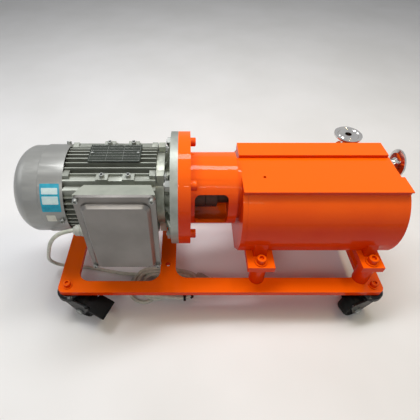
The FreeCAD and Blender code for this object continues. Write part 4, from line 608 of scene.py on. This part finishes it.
def cowl_label(name, x_span, turns, lift, material):
    """Thin film stuck round the cowl between two turns, lifted off its sheet by a few hundredths."""
    length = x_span[1] - x_span[0]
    bpy.ops.mesh.primitive_cylinder_add(vertices=round(360 / LABEL_STEP), radius=(COWL_RADIUS + lift) * MM,
                                        depth=length * MM, end_fill_type="NOTHING",
                                        rotation=(math.pi / 2, 0, math.pi / 2))
    film = bpy.context.object
    bpy.ops.object.transform_apply(location=True, rotation=True, scale=True)
    edit_where("FACE", lambda face: not turns[0] < turn_of(face.center) < turns[1])
    bpy.ops.mesh.delete(type="FACE")
    leave_edit()
    ends = sorted(film.data.vertices, key=lambda vertex: turn_of(vertex.co))
    corners = {vertex.index for vertex in ends[:2] + ends[-2:]}
    edit_where("VERT", lambda vertex: vertex.index in corners)
    bpy.ops.mesh.bevel(offset=LABEL_CORNER * MM, segments=3, affect="VERTICES")
    leave_edit()
    apply_modifier(film, "SOLIDIFY", thickness=LABEL_FILM * MM, offset=1)
    film.location = spot(sum(x_span) / 2, 0, 0)
    settle(film, name, material)


cowl_label("label_blue", (-220, -189), (42.5, 77.5), 0.05, LABEL_BLUE)
cowl_label("label_white_upper", (-217.5, -191.5), (47.5, 55), 0.18, LABEL_WHITE)
cowl_label("label_white_lower", (-217.5, -191.5), (57.5, 67.5), 0.18, LABEL_WHITE)
cowl_label("bare_square", (-216, -201), (82.5, 92.5), 0.05, LABEL_GREY)


# The nameplate's ruling, its middle and face from the shaft, and its rivets from its middle, in millimetres.
RULES_INSET = 2.2
RULE_WIDTH = 0.3
RULES_DEPTH = 1
PLATE_MIDDLE_X = -104.5
PLATE_FACE_Z = 76.5
RIVETS_FROM_X = 34


def nameplate_rules():
    """Fine raised ruling between the nameplate's empty fields."""
    low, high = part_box("nameplate")
    width = high[0] - low[0] - 2 * RULES_INSET * MM
    depth = high[1] - low[1] - 2 * RULES_INSET * MM
    bpy.ops.mesh.primitive_grid_add(x_subdivisions=3, y_subdivisions=6, size=1)
    rules = bpy.context.object
    rules.scale = (width, depth, 1)
    bpy.ops.object.transform_apply(location=True, rotation=True, scale=True)
    apply_modifier(rules, "WIREFRAME", thickness=RULE_WIDTH * MM, use_boundary=True, use_even_offset=True)
    # The ruling is pressed half as high as it is wide.
    rules.scale.z = 0.5
    rules.location = ((low[0] + high[0]) / 2, (low[1] + high[1]) / 2, high[2] - RULES_DEPTH * MM)
    settle(rules, "nameplate_rules", ZINC)


def on_rivet(place):
    """Whether a place is on one of the rivets at the two ends of the nameplate."""
    return abs(place.x - PLATE_MIDDLE_X) > RIVETS_FROM_X and place.z > PLATE_FACE_Z


nameplate_rules()
two_tone("nameplate", on_rivet, ZINC)

# Side of the square floor in metres.
FLOOR_SIDE = 5


def floor():
    """Plain pale floor that keeps the shadow of the machine and is seen as pale in its metal."""
    bpy.ops.mesh.primitive_plane_add(size=FLOOR_SIDE)
    ground = bpy.context.object
    ground.name = "pale_floor"
    material, shader = finish("pale_floor", Roughness=0.6)
    blend_colours(material, shader, grain(material, 300), "#E5E6E8", "#ECEDF0")
    dress(ground, material)


def area_lamp(name, place, size, power, aim=(0, 0, 0.1), colour="#FFFFFF"):
    """Soft rectangular lamp that points at the machine, with its place and size in metres."""
    lamp = bpy.data.lights.new(name, "AREA")
    lamp.shape = "RECTANGLE"
    lamp.size, lamp.size_y = size
    lamp.energy = power
    lamp.color = linear(colour)[:3]
    holder = bpy.data.objects.new(name, lamp)
    holder.location = place
    holder.rotation_euler = (Vector(aim) - Vector(place)).to_track_quat("-Z", "Y").to_euler()
    bpy.context.scene.collection.objects.link(holder)


def studio():
    """Plain soft light: a broad lamp overhead, narrow tubes over the pump and in front, and lamps in front,
    behind and beside the motor. The backdrop is seen brighter than it lights the machine."""
    backdrop_light, backdrop_seen = 0.15, 0.65
    area_lamp("overhead_lamp", (-0.1, 0.35, 1.7), (1.6, 0.3), 21.6)
    area_lamp("near_tube", (0.7, -0.12, 1.6), (0.85, 0.02), 2.8, colour="#FFE6B0")
    area_lamp("far_tube", (0.7, 0.08, 1.6), (0.85, 0.02), 2.8, colour="#FFE6B0")
    area_lamp("front_tube", (-0.2, -1.15, 1.4), (1.4, 0.02), 2, colour="#FFF0D0")
    area_lamp("front_lamp", (-0.45, -1.25, 1.35), (0.5, 0.35), 3.2)
    area_lamp("back_lamp", (-0.45, 1.05, 1.33), (0.4, 0.3), 1.92)
    area_lamp("side_lamp", (-1.5, 0.2, 0.9), (0.8, 0.8), 2.4)
    world = bpy.data.worlds.new("studio")
    world.use_nodes = True
    backdrop = world.node_tree.nodes["Background"]
    backdrop.inputs["Color"].default_value = linear("#F2F4F7")
    light = add(world, "ShaderNodeLightPath").outputs
    seen = add(world, "ShaderNodeMath", {0: light["Is Camera Ray"], 1: light["Is Transmission Ray"]},
               operation="MAXIMUM")
    seen = add(world, "ShaderNodeMath", {0: seen.outputs[0], 1: light["Is Glossy Ray"]}, operation="MAXIMUM")
    level = add(world, "ShaderNodeMapRange",
                {"Value": seen.outputs[0], "To Min": backdrop_light, "To Max": backdrop_seen})
    join(world, level.outputs[0], backdrop, "Strength")
    bpy.context.scene.world = world


def camera():
    """Camera at the photograph's place, found from the machine's known sizes."""
    focal_pixels, centre_x, centre_y, tilt_down = 346.6, 186.12, 206.25, 45.83
    eye = spot(12.77, -461.01, 426.5)
    lens = bpy.data.cameras.new("photo_camera")
    lens.sensor_width = 36
    lens.lens = focal_pixels / IMAGE_SIDE * lens.sensor_width
    lens.shift_x = (IMAGE_SIDE / 2 - centre_x) / IMAGE_SIDE
    lens.shift_y = (centre_y - IMAGE_SIDE / 2) / IMAGE_SIDE
    holder = bpy.data.objects.new("photo_camera", lens)
    holder.location = eye
    holder.rotation_euler = (math.radians(90 - tilt_down), 0, 0)
    bpy.context.scene.collection.objects.link(holder)
    bpy.context.scene.camera = holder


floor()
studio()
camera()
bpy.context.scene.view_settings.view_transform = "Standard"
